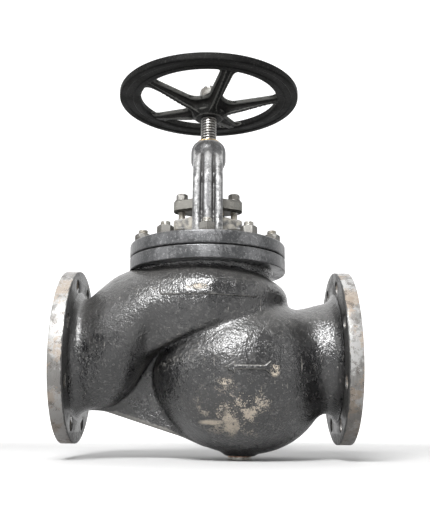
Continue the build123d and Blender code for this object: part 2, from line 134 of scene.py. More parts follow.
CAMERA = make_camera()
print("camera at", [round(v, 3) for v in CAMERA.matrix_world.translation])

# %% [markdown]
# A mesh is only points and faces. One helper turns numpy arrays into an object: it moves the
# points into the row frame, merges doubled points so that seams and poles close, shades
# smoothly except across sharp corners, and makes every face look outwards.

# %% From arrays to objects
SHARP_DEG = 32


def grid_faces(rows, columns, wrap_rows=False, wrap_columns=True):
    """Quads between neighbouring points of a rows by columns grid, as an array of corners."""
    row = np.arange(rows if wrap_rows else rows - 1)[:, None]
    column = np.arange(columns if wrap_columns else columns - 1)[None, :]
    next_row, next_column = (row + 1) % rows, (column + 1) % columns
    corners = [row * columns + column, row * columns + next_column]
    corners += [next_row * columns + next_column, next_row * columns + column]
    return np.stack([np.broadcast_to(c, (row.size, column.size)) for c in corners], -1).reshape(-1, 4)


def join_grids(parts):
    """Several (points, faces) pairs as one pair."""
    points = np.concatenate([p for p, _ in parts])
    starts = np.cumsum([0] + [len(p) for p, _ in parts[:-1]])
    faces = np.concatenate([f + start for (_, f), start in zip(parts, starts)])
    return points, faces


def make_piece(name, shape, material, body, nodes=(), sharp=SHARP_DEG, attributes=None, tidy=True):
    """An object from millimetre points and quads, riding on a CAD body and standing for nodes."""
    points, faces = shape
    mesh = bpy.data.meshes.new(name)
    mesh.vertices.add(len(points))
    mesh.vertices.foreach_set("co", (points * MM + (STEM_X, 0, 0)).astype(np.float32).ravel())
    mesh.loops.add(faces.size)
    mesh.loops.foreach_set("vertex_index", faces.astype(np.int32).ravel())
    mesh.polygons.add(len(faces))
    mesh.polygons.foreach_set("loop_start", np.arange(0, faces.size, 4, dtype=np.int32))
    mesh.polygons.foreach_set("loop_total", np.full(len(faces), 4, dtype=np.int32))
    mesh.update(calc_edges=True)
    for key, values in (attributes or {}).items():
        layer = mesh.attributes.new(key, "FLOAT", "POINT")
        layer.data.foreach_set("value", values.astype(np.float32))
    if tidy:
        work = bmesh.new()
        work.from_mesh(mesh)
        bmesh.ops.remove_doubles(work, verts=work.verts, dist=2e-6)
        bmesh.ops.dissolve_degenerate(work, edges=work.edges, dist=1e-7)
        bmesh.ops.recalc_face_normals(work, faces=work.faces)
        work.to_mesh(mesh)
        work.free()
    mesh.shade_smooth()
    if sharp:
        mesh.set_sharp_from_angle(angle=radians(sharp))
    thing = bpy.data.objects.new(name, mesh)
    bpy.context.scene.collection.objects.link(thing)
    mesh.materials.append(material)
    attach(thing, body)
    if nodes:
        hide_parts(*nodes)
    print(name, "points", len(mesh.vertices), "faces", len(mesh.polygons))
    return thing

# %% [markdown]
# Materials are graphs of nodes. The helper below adds one node and fills its inputs: a plain
# value is set on the socket, and another node's output is linked to it. Effects that several
# finishes share (cast grain, worn patches, dust, painted shade and grime in hollows) are node
# groups, built once and used with different numbers. Every pattern reads Object coordinates, in
# metres, so that a Scale of 500 gives spots about 2 mm across on every piece.

# %% Node helper
NODE_SETTINGS = (
    "operation", "data_type", "blend_type", "noise_dimensions", "feature", "attribute_name",
)


def add(tree, kind, output=0, **inputs):
    """One node with its inputs filled; returns the chosen output socket."""
    node = tree.nodes.new(kind)
    for key, value in inputs.items():
        if key in NODE_SETTINGS:
            setattr(node, key, value)
            continue
        name = key.replace("_", " ")
        if name.isdigit() or name[1:].isdigit():
            socket = node.inputs[int(name.strip("i"))]
        else:
            socket = node.inputs[name]
        if isinstance(value, bpy.types.NodeSocket):
            tree.links.new(value, socket)
        else:
            socket.default_value = value
    return node.outputs[output]


def math(tree, operation, a, b=0.0, clamp=False):
    """A Math node on two numbers or sockets."""
    out = add(tree, "ShaderNodeMath", operation=operation, i0=a, i1=b)
    out.node.use_clamp = clamp
    return out


def band(tree, value, low, high):
    """0 below low, 1 above high, smooth between them."""
    out = add(tree, "ShaderNodeMapRange", Value=value, From_Min=low, From_Max=high)
    out.node.interpolation_type = "SMOOTHSTEP"
    return out


def blend_colour(tree, factor, first, second):
    """first where factor is 0 and second where it is 1."""
    node = tree.nodes.new("ShaderNodeMix")
    node.data_type = "RGBA"
    for index, value in ((0, factor), (6, first), (7, second)):
        if isinstance(value, bpy.types.NodeSocket):
            tree.links.new(value, node.inputs[index])
        elif index == 0:
            node.inputs[index].default_value = value
        else:
            node.inputs[index].default_value = (*value, 1)
    return node.outputs[2]


def spots(tree, vector, scale, detail=4.0, rough=0.55):
    """Cloudy noise between 0 and 1."""
    return add(tree, "ShaderNodeTexNoise", Vector=vector, Scale=scale, Detail=detail, Roughness=rough)


def new_group(name, inputs, outputs):
    """An empty node group with named number or colour sockets."""
    group = bpy.data.node_groups.new(name, "ShaderNodeTree")
    kinds = {"f": "NodeSocketFloat", "c": "NodeSocketColor", "v": "NodeSocketVector"}
    for label, kind, value in inputs:
        socket = group.interface.new_socket(label, in_out="INPUT", socket_type=kinds[kind])
        if kind != "v":
            socket.default_value = value
    for label, kind in outputs:
        group.interface.new_socket(label, in_out="OUTPUT", socket_type=kinds[kind])
    return group, group.nodes.new("NodeGroupInput").outputs, group.nodes.new("NodeGroupOutput").inputs


def use_group(tree, group, **inputs):
    """A group placed in a material; returns all its outputs by name."""
    node = tree.nodes.new("ShaderNodeGroup")
    node.node_tree = group
    for key, value in inputs.items():
        socket = node.inputs[key.replace("_", " ")]
        if isinstance(value, bpy.types.NodeSocket):
            tree.links.new(value, socket)
        else:
            socket.default_value = value
    return node.outputs


# %% [markdown]
# Cast iron carries the print of its sand mould: fine grain a millimetre or two across, soft
# lumps under it, and a slow waviness over the whole wall. Each is a noise of its own size, and
# their sum is a height for a Bump node.

# %% Effect: cast grain
def build_cast_grain():
    """Sum of four noises, from fine to slow, with a speckle mask of the fine one."""
    group, given, out = new_group(
        "cast grain",
        [("Vector", "v", None), ("Fine", "f", 1.0), ("Lumps", "f", 1.0), ("Size", "f", 1.0)],
        [("Height", "f"), ("Speckle", "f")],
    )
    place = add(group, "ShaderNodeVectorMath", operation="SCALE", i0=given["Vector"], Scale=given["Size"])
    fine = spots(group, place, 430, 2, 0.5)
    medium = spots(group, place, 190, 2, 0.5)
    lumps = spots(group, place, 70, 3, 0.5)
    slow = spots(group, place, 16, 2, 0.5)
    first = math(group, "MULTIPLY", fine, given["Fine"])
    second = math(group, "MULTIPLY_ADD", medium, given["Fine"])
    group.links.new(first, second.node.inputs[2])
    third = math(group, "MULTIPLY_ADD", lumps, given["Lumps"])
    group.links.new(second, third.node.inputs[2])
    total = math(group, "ADD", third, math(group, "MULTIPLY", slow, 1.5))
    group.links.new(total, out["Height"])
    group.links.new(band(group, math(group, "ADD", fine, medium), 1.06, 1.3), out["Speckle"])
    return group


CAST_GRAIN = build_cast_grain()
print("group", CAST_GRAIN.name)

# %% [markdown]
# Wear, dust, stains and painted shade differ only in where they sit. Worn patches are the peaks
# of a cloudy noise, broken up by a finer one. Dust lies where the surface looks upwards. Hollows
# and creases are darkened, which is painted shade, mixed with random grime patches; bare metal
# shows on proud edges: both come from an attribute that the shapes below write into their points.

# %% Effects: patches, dust and edges
def build_patches():
    """1 inside ragged patches that cover about the asked share of the surface."""
    group, given, out = new_group(
        "ragged patches",
        [("Vector", "v", None), ("Scale", "f", 20.0), ("Cover", "f", 0.3), ("Ragged", "f", 0.4)],
        [("Mask", "f")],
    )
    broad = spots(group, given["Vector"], given["Scale"], 3)
    finer = spots(group, given["Vector"], math(group, "MULTIPLY", given["Scale"], 9.0), 4, 0.7)
    finer = math(group, "MULTIPLY", math(group, "SUBTRACT", finer, 0.5), given["Ragged"])
    level = math(group, "ADD", broad, finer)
    edge = math(group, "SUBTRACT", 0.72, math(group, "MULTIPLY", given["Cover"], 0.45))
    high = math(group, "ADD", edge, 0.06)
    mask = add(group, "ShaderNodeMapRange", Value=level, From_Min=edge, From_Max=high)
    group.links.new(mask, out["Mask"])
    return group


def build_dust():
    """1 on upward faces, fading down the sides, broken by noise."""
    group, given, out = new_group(
        "settled dust",
        [("Vector", "v", None), ("Amount", "f", 0.5)],
        [("Mask", "f")],
    )
    normal = add(group, "ShaderNodeTexCoord", 1)
    upward = add(group, "ShaderNodeSeparateXYZ", 2, Vector=normal)
    cloud = spots(group, given["Vector"], 60, 6, 0.65)
    level = math(group, "MULTIPLY", band(group, upward, 0.1, 0.9), math(group, "ADD", cloud, 0.45))
    group.links.new(math(group, "MULTIPLY", level, given["Amount"], clamp=True), out["Mask"])
    return group


def build_edges():
    """Masks from the point attribute relief: Proud on worn edges, and painted shade in creases mixed with
    random grime patches.
    """
    group, given, out = new_group(
        "worn edges",
        [("Vector", "v", None), ("Scale", "f", 150.0)],
        [("Proud", "f"), ("Crease_Shade_And_Grime", "f")],
    )
    relief = add(group, "ShaderNodeAttribute", 2, attribute_name="relief")
    cloud = math(group, "SUBTRACT", spots(group, given["Vector"], given["Scale"], 5, 0.7), 0.5)
    proud = band(group, math(group, "ADD", relief, cloud), 0.25, 0.6)
    # Darkening mask: painted shade where the relief is hollow, plus random grime patches from the noise.
    crease_shade_and_grime = band(group, math(group, "SUBTRACT", cloud, relief), 0.15, 0.7)
    group.links.new(proud, out["Proud"])
    group.links.new(crease_shade_and_grime, out["Crease_Shade_And_Grime"])
    return group


PATCHES = build_patches()
DUST = build_dust()
EDGES = build_edges()
print("groups", [g.name for g in (PATCHES, DUST, EDGES)])

# %% [markdown]
# Every finish starts the same way: a Principled shader, the object's own coordinates, and a
# Bump node for its height. The helper returns those three, ready to be joined.

# %% A blank finish
def new_finish(name, metallic=0.0, bump_mm=0.3):
    """A material with a Principled shader and a bump of the given depth, its tree and coordinates."""
    material = bpy.data.materials.new(name)
    material.use_nodes = True
    tree = material.node_tree
    shader = tree.nodes["Principled BSDF"]
    shader.inputs["Metallic"].default_value = metallic
    place = add(tree, "ShaderNodeTexCoord", 3)
    bump = tree.nodes.new("ShaderNodeBump")
    bump.inputs["Distance"].default_value = bump_mm * MM
    tree.links.new(bump.outputs[0], shader.inputs["Normal"])
    return material, tree, shader, place, bump


def finish_with(tree, shader, colour, roughness, bump, height):
    """Links a colour, a roughness and a height into the shader."""
    tree.links.new(colour, shader.inputs["Base Color"])
    tree.links.new(roughness, shader.inputs["Roughness"])
    tree.links.new(height, bump.inputs["Height"])


# %% [markdown]
# The body is painted black over rough iron. The paint is glossy where it ran thick over the
# upper chamber, dull and dusty on the necks, and scraped to a tan primer low on the front.

# %% Finish: black paint on the casting
def scraped_zone(tree, place, centre, radii):
    """1 at a centre in millimetres from the stem and pipe axes, falling to 0 at its radii."""
    moved = add(tree, "ShaderNodeVectorMath", operation="SUBTRACT", i0=place,
                i1=(centre[0] * MM + STEM_X, centre[1] * MM, centre[2] * MM))
    sizes = tuple(r * MM for r in radii)
    scaled = add(tree, "ShaderNodeVectorMath", operation="DIVIDE", i0=moved, i1=sizes)
    length = add(tree, "ShaderNodeVectorMath", 1, operation="LENGTH", i0=scaled)
    return math(tree, "SUBTRACT", 1.0, length, clamp=True)


def scratches(tree, place, turn, stretch, scale, low):
    """Thin broken lines along one direction, from a noise stretched along it."""
    turned_place = add(tree, "ShaderNodeMapping", Vector=place, Rotation=turn, Scale=stretch)
    lines = spots(tree, turned_place, scale, 4, 0.6)
    return band(tree, lines, low, low + 0.06)


SCRAPES = (
    ((38, -110, -108), (17, 60, 36)),
    ((8, -112, -107), (30, 60, 6)),
    ((104, -125, -29), (11, 30, 15)),
    ((29, -130, -47), (15, 30, 8)),
    ((-12, -130, 96), (26, 30, 7)),
)


def casting_paint():
    """Black gloss paint with speckle, dust, bare edges, scratches and tan scrapes low in front."""
    material, tree, shader, place, bump = new_finish("casting_paint", bump_mm=1.0)
    shader.inputs["Specular IOR Level"].default_value = 0.75
    shader.inputs["Coat Weight"].default_value = 0.3
    shader.inputs["Coat Roughness"].default_value = 0.25
    tree.links.new(bump.outputs[0], shader.inputs["Coat Normal"])
    grain = use_group(tree, CAST_GRAIN, Vector=place, Fine=1.0, Lumps=1.8, Size=0.85)
    edges = use_group(tree, EDGES, Vector=place, Scale=160)
    dust = use_group(tree, DUST, Vector=place, Amount=0.16)["Mask"]
    dull = use_group(tree, PATCHES, Vector=place, Scale=9, Cover=0.5, Ragged=0.5)["Mask"]
    black = blend_colour(tree, grain["Speckle"], (0.004, 0.004, 0.0045), (0.055, 0.054, 0.052))
    colour = blend_colour(tree, math(tree, "MULTIPLY", dull, 0.3), black, (0.03, 0.029, 0.028))
    colour = blend_colour(tree, math(tree, "MULTIPLY", edges["Proud"], 0.5), colour, (0.25, 0.24, 0.22))
    colour = blend_colour(tree, dust, colour, (0.22, 0.215, 0.205))
    flecks = use_group(tree, PATCHES, Vector=place, Scale=46, Cover=0.27, Ragged=0.9)["Mask"]
    spread = scraped_zone(tree, place, (48, -110, -88), (95, 90, 66))
    patch = use_group(tree, PATCHES, Vector=place, Scale=60, Cover=0.6, Ragged=0.9)["Mask"]
    core = 0.0
    for centre, radii in SCRAPES:
        core = math(tree, "MAXIMUM", core, scraped_zone(tree, place, centre, radii))
    core = math(tree, "MULTIPLY", core, math(tree, "MULTIPLY", spots(tree, place, 75, 4, 0.75), 1.7))
    scrape = math(tree, "MAXIMUM", math(tree, "MULTIPLY", flecks, band(tree, spread, 0.1, 0.7)),
                  math(tree, "MULTIPLY", patch, band(tree, core, 0.1, 0.5)))
    upright = scratches(tree, place, (0, 0, 0), (1, 1, 0.12), 210, 0.66)
    level = scratches(tree, place, (0, radians(12), 0), (0.1, 1, 1), 240, 0.68)
    lines = math(tree, "MULTIPLY", math(tree, "MAXIMUM", upright, level), 0.55)
    colour = blend_colour(tree, lines, colour, (0.30, 0.285, 0.26))
    colour = blend_colour(tree, math(tree, "MULTIPLY", scrape, 0.9), colour, (0.33, 0.285, 0.225))
    rough = math(tree, "ADD", 0.27, math(tree, "MULTIPLY", dull, 0.05))
    rough = math(tree, "ADD", rough, math(tree, "MULTIPLY", math(tree, "ADD", scrape, dust), 0.35))
    height = math(tree, "SUBTRACT", grain["Height"], math(tree, "MULTIPLY", scrape, 0.25))
    finish_with(tree, shader, colour, rough, bump, height)
    return material


CASTING_PAINT = casting_paint()
print("finish", CASTING_PAINT.name)

# %% [markdown]
# The flange rims were turned in a lathe and never painted: pale bare iron, with tan and brown
# rust where damp sat, and fine turning lines round the axis.

# %% Finish: machined flange metal
def painted_back(tree, place):
    """1 on the back of a pipe flange and just over its edge, where the body's paint reached."""
    across = add(tree, "ShaderNodeSeparateXYZ", Vector=place)
    along = math(tree, "ABSOLUTE", math(tree, "SUBTRACT", across, STEM_X))
    ragged = math(tree, "MULTIPLY", math(tree, "SUBTRACT", spots(tree, place, 90, 4, 0.6), 0.5), 0.006)
    edge = math(tree, "ADD", along, ragged)
    return band(tree, edge, (HALF_LENGTH - 23.2) * MM, (HALF_LENGTH - 24.6) * MM)


def machined_rim():
    """Bare turned iron with pale, tan and dark patches and fine rings, and a painted back."""
    material, tree, shader, place, bump = new_finish("machined_rim", metallic=0.3, bump_mm=0.3)
    pale = use_group(tree, PATCHES, Vector=place, Scale=13, Cover=0.6, Ragged=0.4)["Mask"]
    tan_spot = use_group(tree, PATCHES, Vector=place, Scale=30, Cover=0.45, Ragged=0.7)["Mask"]
    rust = use_group(tree, PATCHES, Vector=place, Scale=70, Cover=0.3, Ragged=0.9)["Mask"]
    lines = spots(tree, add(tree, "ShaderNodeMapping", Vector=place, Scale=(14, 1, 1)), 60, 4, 0.65)
    colour = blend_colour(tree, lines, (0.075, 0.073, 0.07), (0.20, 0.195, 0.187))
    colour = blend_colour(tree, math(tree, "MULTIPLY", pale, 0.7), colour, (0.34, 0.34, 0.335))
    colour = blend_colour(tree, math(tree, "MULTIPLY", tan_spot, 0.6), colour, (0.235, 0.18, 0.13))
    colour = blend_colour(tree, math(tree, "MULTIPLY", rust, 0.7), colour, (0.055, 0.045, 0.038))
    # Below the pipe axis each rim is painted darker towards the bottom: painted shade.
    height = add(tree, "ShaderNodeSeparateXYZ", 2, Vector=place)
    low = math(tree, "MULTIPLY", band(tree, height, 0.0, -0.14), 0.65)
    colour = blend_colour(tree, low, colour, (0.06, 0.052, 0.045))
    black = blend_colour(tree, spots(tree, place, 300, 4, 0.6), (0.012, 0.012, 0.012), (0.05, 0.049, 0.047))
    colour = blend_colour(tree, painted_back(tree, place), colour, black)
    rough = math(tree, "ADD", 0.36, math(tree, "MULTIPLY", math(tree, "ADD", tan_spot, rust), 0.16))
    grain = spots(tree, place, 380, 4, 0.7)
    turning = math(tree, "MULTIPLY", lines, 0.4)
    finish_with(tree, shader, colour, rough, bump, math(tree, "ADD", grain, turning))
    return material


MACHINED_RIM = machined_rim()
print("finish", MACHINED_RIM.name)

# %% [markdown]
# The bonnet and yoke carry a thin grey paint that has worn to a silvery satin. The same
# recipe with other colours does for the gland, whose iron is bare and beige with dust.

# %% Finishes: bonnet, yoke and gland
def worn_iron(name, dark, light, bare, metallic, gloss, lumps, dust_amount):
    """Satin iron between a dark and a light tone, bare on its edges and dusty on top."""
    material, tree, shader, place, bump = new_finish(name, metallic, 0.4)
    grain = use_group(tree, CAST_GRAIN, Vector=place, Fine=0.45, Lumps=lumps, Size=1.3)
    edges = use_group(tree, EDGES, Vector=place, Scale=180)
    cloud = use_group(tree, PATCHES, Vector=place, Scale=22, Cover=0.5, Ragged=0.6)["Mask"]
    dust = use_group(tree, DUST, Vector=place, Amount=dust_amount)["Mask"]
    colour = blend_colour(tree, math(tree, "MULTIPLY", cloud, 0.6), dark, light)
    colour = blend_colour(tree, math(tree, "MULTIPLY", grain["Speckle"], 0.3), colour, bare)
    colour = blend_colour(tree, edges["Proud"], colour, bare)
    # Near-black where the relief is hollow: painted shade in the creases of the castings, with random grime
    # patches from the noise.
    colour = blend_colour(tree, math(tree, "MULTIPLY", edges["Crease_Shade_And_Grime"], 0.75), colour, (0.02, 0.019, 0.018))
    colour = blend_colour(tree, dust, colour, (0.40, 0.385, 0.355))
    rough = math(tree, "ADD", gloss, math(tree, "MULTIPLY", math(tree, "ADD", cloud, dust), 0.16))
    finish_with(tree, shader, colour, rough, bump, grain["Height"])
    return material


def lug_dust(material):
    """Lays beige dust on the low parts between the yoke arms, where nobody wipes."""
    tree = material.node_tree
    shader = tree.nodes["Principled BSDF"]
    old = shader.inputs["Base Color"].links[0].from_socket
    place = add(tree, "ShaderNodeTexCoord", 3)
    split = add(tree, "ShaderNodeSeparateXYZ", Vector=place).node.outputs
    near = band(tree, math(tree, "ABSOLUTE", split[1]), 0.046, 0.040)
    inside = math(tree, "MULTIPLY", near, band(tree, split[2], 0.243, 0.238))
    cloud = band(tree, spots(tree, place, 55, 5, 0.65), 0.36, 0.56)
    dusty = blend_colour(tree, math(tree, "MULTIPLY", inside, cloud), old, (0.25, 0.235, 0.205))
    tree.links.new(dusty, shader.inputs["Base Color"])


BONNET_PAINT = worn_iron(
    "bonnet_paint", (0.05, 0.051, 0.053), (0.10, 0.10, 0.103),
    (0.32, 0.32, 0.32), 0.5, 0.29, 0.9, 0.1,
)
YOKE_IRON = worn_iron(
    "yoke_iron", (0.055, 0.055, 0.056), (0.105, 0.105, 0.107),
    (0.28, 0.28, 0.28), 0.4, 0.34, 0.9, 0.14,
)
GLAND_IRON = worn_iron(
    "gland_iron", (0.08, 0.078, 0.07), (0.16, 0.154, 0.138),
    (0.28, 0.27, 0.245), 0.2, 0.45, 0.6, 0.3,
)
WHEEL_PAINT = worn_iron(
    "wheel_paint", (0.004, 0.004, 0.004), (0.009, 0.009, 0.0085),
    (0.05, 0.05, 0.047), 0.0, 0.5, 0.6, 0.05,
)
WHEEL_PAINT.node_tree.nodes["Principled BSDF"].inputs["Specular IOR Level"].default_value = 0.05
lug_dust(YOKE_IRON)
print("finishes", BONNET_PAINT.name, YOKE_IRON.name, GLAND_IRON.name, WHEEL_PAINT.name)

# %% [markdown]
# Small turned parts are bare or plated metal. They share one recipe: a metal tone, cloudy
# tarnish, painted shade in hollows mixed with random grime and, on zinc, a dry beige film.

# %% Finishes: steel, zinc, bronze, copper and graphite
def turned_metal(name, tone, tarnish, rough_low, cover, metallic=1.0, scale=60.0):
    """Metal of one tone, tarnished in patches, darker where the relief is hollow: painted shade, with
    random grime patches.
    """
    material, tree, shader, place, bump = new_finish(name, metallic, 0.08)
    patch = use_group(tree, PATCHES, Vector=place, Scale=scale, Cover=cover, Ragged=0.6)["Mask"]
    edges = use_group(tree, EDGES, Vector=place, Scale=260)
    fine = spots(tree, place, 700, 5, 0.6)
    colour = blend_colour(tree, math(tree, "MULTIPLY", patch, 0.8), tone, tarnish)
    colour = blend_colour(tree, math(tree, "MULTIPLY", fine, 0.35), colour, tuple(c * 0.6 for c in tone))
    # Darker where the relief is hollow: painted shade in thread roots and creases, with random grime
    # patches from the noise.
    colour = blend_colour(tree, edges["Crease_Shade_And_Grime"], colour, (0.035, 0.03, 0.026))
    rough = math(tree, "ADD", rough_low, math(tree, "MULTIPLY", patch, 0.28))
    rough = math(tree, "ADD", rough, math(tree, "MULTIPLY", edges["Crease_Shade_And_Grime"], 0.3))
    finish_with(tree, shader, colour, rough, bump, fine)
    return material


STEM_STEEL = turned_metal("stem_steel", (0.32, 0.313, 0.3), (0.19, 0.177, 0.157), 0.3, 0.3)
STUD_STEEL = turned_metal("stud_steel", (0.42, 0.41, 0.38), (0.24, 0.21, 0.17), 0.38, 0.5, 0.8)
NUT_ZINC = turned_metal("nut_zinc", (0.13, 0.126, 0.117), (0.07, 0.064, 0.056), 0.42, 0.5, 0.6)
BRONZE = turned_metal("bronze", (0.58, 0.40, 0.19), (0.26, 0.17, 0.09), 0.28, 0.4)
COPPER = turned_metal("copper", (0.62, 0.33, 0.20), (0.24, 0.13, 0.09), 0.32, 0.5)
DISC_IRON = turned_metal("disc_iron", (0.22, 0.215, 0.21), (0.14, 0.11, 0.085), 0.42, 0.5, 0.5)
GRAPHITE = turned_metal("graphite", (0.045, 0.045, 0.048), (0.08, 0.08, 0.08), 0.55, 0.4, 0.0, 120)
print("finishes made", len(bpy.data.materials))

# %% [markdown]
# The castings have no sharp joins: necks, balls and walls flow into each other. That is easiest
# to say with a field, a function that is negative inside the metal and grows with distance.
# Two fields join with a smooth minimum, which leaves a fillet. A surface net then finds where
# the field is zero on a grid of cubes, and every point is moved onto the true zero surface.

# %% Field tools
def smooth_min(a, b, k):
    """The smaller of two fields, with a fillet about k wide where they meet."""
    h = np.clip(0.5 + 0.5 * (b - a) / k, 0, 1)
    return b + (a - b) * h - k * h * (1 - h)


def smooth_max(a, b, k):
    """The larger of two fields, with a rounded edge about k wide."""
    return -smooth_min(-a, -b, k)


def eased(at, knots, reach):
    """A polyline through (position, value) knots with its corners rounded over the reach."""
    places, values = np.array(knots, float).T
    weights = ((-1, 1), (-0.5, 2), (0, 2), (0.5, 2), (1, 1))
    return sum(w * np.interp(at + s * reach, places, values) for s, w in weights) / 8


def crossings(field):
    """Mean place of the zero crossings on the edges of every cube, and how many there are."""
    shape = tuple(n - 1 for n in field.shape)
    total, count = np.zeros(shape + (3,)), np.zeros(shape)
    for axis in range(3):
        others = [a for a in range(3) if a != axis]
        for b in (0, 1):
            for c in (0, 1):
                start = [0, 0, 0]
                start[others[0]], start[others[1]] = b, c
                stop = list(start)
                stop[axis] = 1
                first = field[tuple(slice(s, s + n) for s, n in zip(start, shape))]
                last = field[tuple(slice(s, s + n) for s, n in zip(stop, shape))]
                cross = (first < 0) != (last < 0)
                share = np.where(cross, first / np.where(cross, first - last, 1), 0)
                total[..., axis] += share
                total[..., others[0]] += cross * b
                total[..., others[1]] += cross * c
                count += cross
    return total, count


def surface_net(field, low, step):
    """Points and quads of the zero surface of a field sampled on a grid."""
    total, count = crossings(field)
    active = count > 0
    index = np.full(active.shape, -1)
    index[active] = np.arange(active.sum())
    cells = np.argwhere(active)
    points = low + step * (cells + total[active] / count[active][:, None])
    faces = []
    for axis in range(3):
        b, c = (a for a in range(3) if a != axis)
        here, ahead = [slice(1, -1)] * 3, [slice(1, -1)] * 3
        here[axis], ahead[axis] = slice(0, -1), slice(1, None)
        edge = np.argwhere((field[tuple(here)] < 0) != (field[tuple(ahead)] < 0))
        edge[:, b] += 1
        edge[:, c] += 1
        corners = []
        for db, dc in ((-1, -1), (0, -1), (0, 0), (-1, 0)):
            cell = edge.copy()
            cell[:, b] += db
            cell[:, c] += dc
            corners.append(index[tuple(cell.T)])
        faces.append(np.stack(corners, -1))
    return points, np.concatenate(faces)


def slopes(field, points, gap):
    """Gradient of a field at many points, by central differences."""
    parts = []
    for axis in range(3):
        shift = np.zeros(3)
        shift[axis] = gap
        ahead, behind = (points + shift).T, (points - shift).T
        parts.append((field(*ahead) - field(*behind)) / (2 * gap))
    return np.stack(parts, -1)


def carve(field, low, high, step):
    """The zero surface of a field inside a box, with its points moved onto the surface."""
    axes = [np.arange(a, b + step, step) for a, b in zip(low, high)]
    points, faces = surface_net(field(*np.meshgrid(*axes, indexing="ij")), np.array(low), step)
    for _ in range(3):
        slope = slopes(field, points, 0.25)
        size = np.maximum((slope**2).sum(-1), 0.05)
        move = (field(*points.T) / size)[:, None] * slope
        points = points - np.clip(move, -step / 3, step / 3)
    return points, faces


def relief_of(field, points, reach):
    """Convex edges above 0 and creases below 0: the mean of the field round each point."""
    total = np.zeros(len(points))
    for axis in range(3):
        for side in (-reach, reach):
            shift = np.zeros(3)
            shift[axis] = side
            total += field(*(points + shift).T)
    return np.clip(total / reach, -1, 1)


def turned(profile, segments=160, axis="z", centre=(0, 0, 0), closed=True):
    """A lathe surface from (radius, height) pairs, closed into a ring or left as a strip."""
    profile = np.array(profile, float)
    angle = np.arange(segments) * 2 * pi / segments
    radius, height = profile[:, :1], profile[:, 1:]
    round_x, round_y = radius * np.cos(angle), radius * np.sin(angle)
    height = np.broadcast_to(height, round_x.shape)
    stack = (round_x, round_y, height) if axis == "z" else (height, round_x, round_y)
    points = np.stack(stack, -1).reshape(-1, 3) + centre
    return points, grid_faces(len(profile), segments, wrap_rows=closed)


def rounded(corners, radius, steps=5):
    """A closed outline with every corner replaced by an arc-like curve of the given reach."""
    corners = np.array(corners, float)
    t = np.linspace(0, 1, steps)[:, None]
    out = []
    for i in range(len(corners)):
        before, here, after = corners[i - 1], corners[i], corners[(i + 1) % len(corners)]
        back, ahead = before - here, after - here
        reach = min(radius, np.linalg.norm(back) * 0.45, np.linalg.norm(ahead) * 0.45)
        first = here + back / np.linalg.norm(back) * reach
        last = here + ahead / np.linalg.norm(ahead) * reach
        out.append((1 - t) ** 2 * first + 2 * t * (1 - t) * here + t**2 * last)
    return np.concatenate(out)


print("field tools ready")

# %% [markdown]
# The body is one sand casting. Two overlapping balls make the lower chamber, a flared neck
# leads to the inlet, and an oval arm rises from the outlet into a round upper chamber with a
# sloping floor. A flat web and a drain boss hang below. The passages are cut from the same
# fields, made smaller by the wall.

# %% Fields of the body casting
WALL = 13.0
BORE_R = 75.0
BALLS = ((50, -16, 139.5), (75, -29, 127.5))
CHAMBER_X, CHAMBER_R, CHAMBER_TOP = 13, 130, 137
FLANGE_BACK = HALF_LENGTH - 26
BODY_FLANGE_BOTTOM = SPLIT_Z - 21.5
ARM_LOW = (
    (-219, -92), (-200, -90), (-180, -88), (-155, -83), (-127, -62),
    (-108, -33), (-88, 4), (-45, 20), (8, 42),
)
ARM_HIGH = (
    (-219, 92), (-200, 95), (-180, 114), (-155, 135), (-127, 147),
    (-108, 147), (-88, 143), (-45, 138), (8, 130),
)
ARM_WIDE = (
    (-219, 92), (-200, 93), (-180, 99), (-155, 109), (-127, 118),
    (-108, 122), (-88, 124), (-45, 125), (8, 122),
)
NECK = ((120, 62), (147, 75), (160, 81), (177, 86), (195, 90), (208, 94), (219, 97))
SLOPE = tan(radians(16.2))
CREASE_DEPTH, CREASE_WIDE = 6.5, 17.0


def balls_field(x, y, z):
    """The two lobes of the lower chamber."""
    first, second = (np.sqrt((x - bx) ** 2 + y**2 + (z - bz) ** 2) - r for bx, bz, r in BALLS)
    return smooth_min(first, second, 12)


def arm_field(x, y, z):
    """Oval sections that change along the pipe axis, ending inside the upper chamber."""
    low, high, wide = (eased(x, knots, 9) for knots in (ARM_LOW, ARM_HIGH, ARM_WIDE))
    tall = (high - low) / 2
    oval = np.sqrt((y / wide) ** 2 + ((z - (high + low) / 2) / tall) ** 2)
    return smooth_max((oval - 1) * np.minimum(wide, tall), x - 10, 20)


def chamber_field(x, y, z, floor=0.0):
    """A round drum with a rounded top, standing on a sloping floor."""
    corner = 34
    across = np.hypot(x - CHAMBER_X, y) - (CHAMBER_R - corner)
    above = z - (CHAMBER_TOP - corner) + 0.075 * np.maximum(x + 60, 0)
    outside = np.hypot(np.maximum(across, 0), np.maximum(above, 0))
    drum = outside + np.minimum(np.maximum(across, above), 0) - corner
    return smooth_max(drum, (24 + floor + SLOPE * x - z) * 0.96, 20)


def neck_field(x, y, z):
    """The flared inlet neck, turned about the pipe axis."""
    return smooth_max((np.hypot(y, z) - eased(x, NECK, 8)) * 0.93, 125 - x, 10)


def web_field(x, y, z):
    """A flat plate below the arm, down to the lower chamber."""
    lower = (-86 - (x + 182) * 0.316 - z) * 0.953
    plate = smooth_max(np.abs(y) - 7, lower, 6)
    return np.maximum(plate, np.maximum(z - 5, np.maximum(-184 - x, x + 5)))


def boss_field(x, y, z):
    """The round boss under the lower chamber."""
    radius = np.interp(z, (-160, -152, -120), (24, 28, 40))
    return smooth_max((np.hypot(x - 55, y) - radius) * 0.9, np.maximum(-160 - z, z + 110), 3)


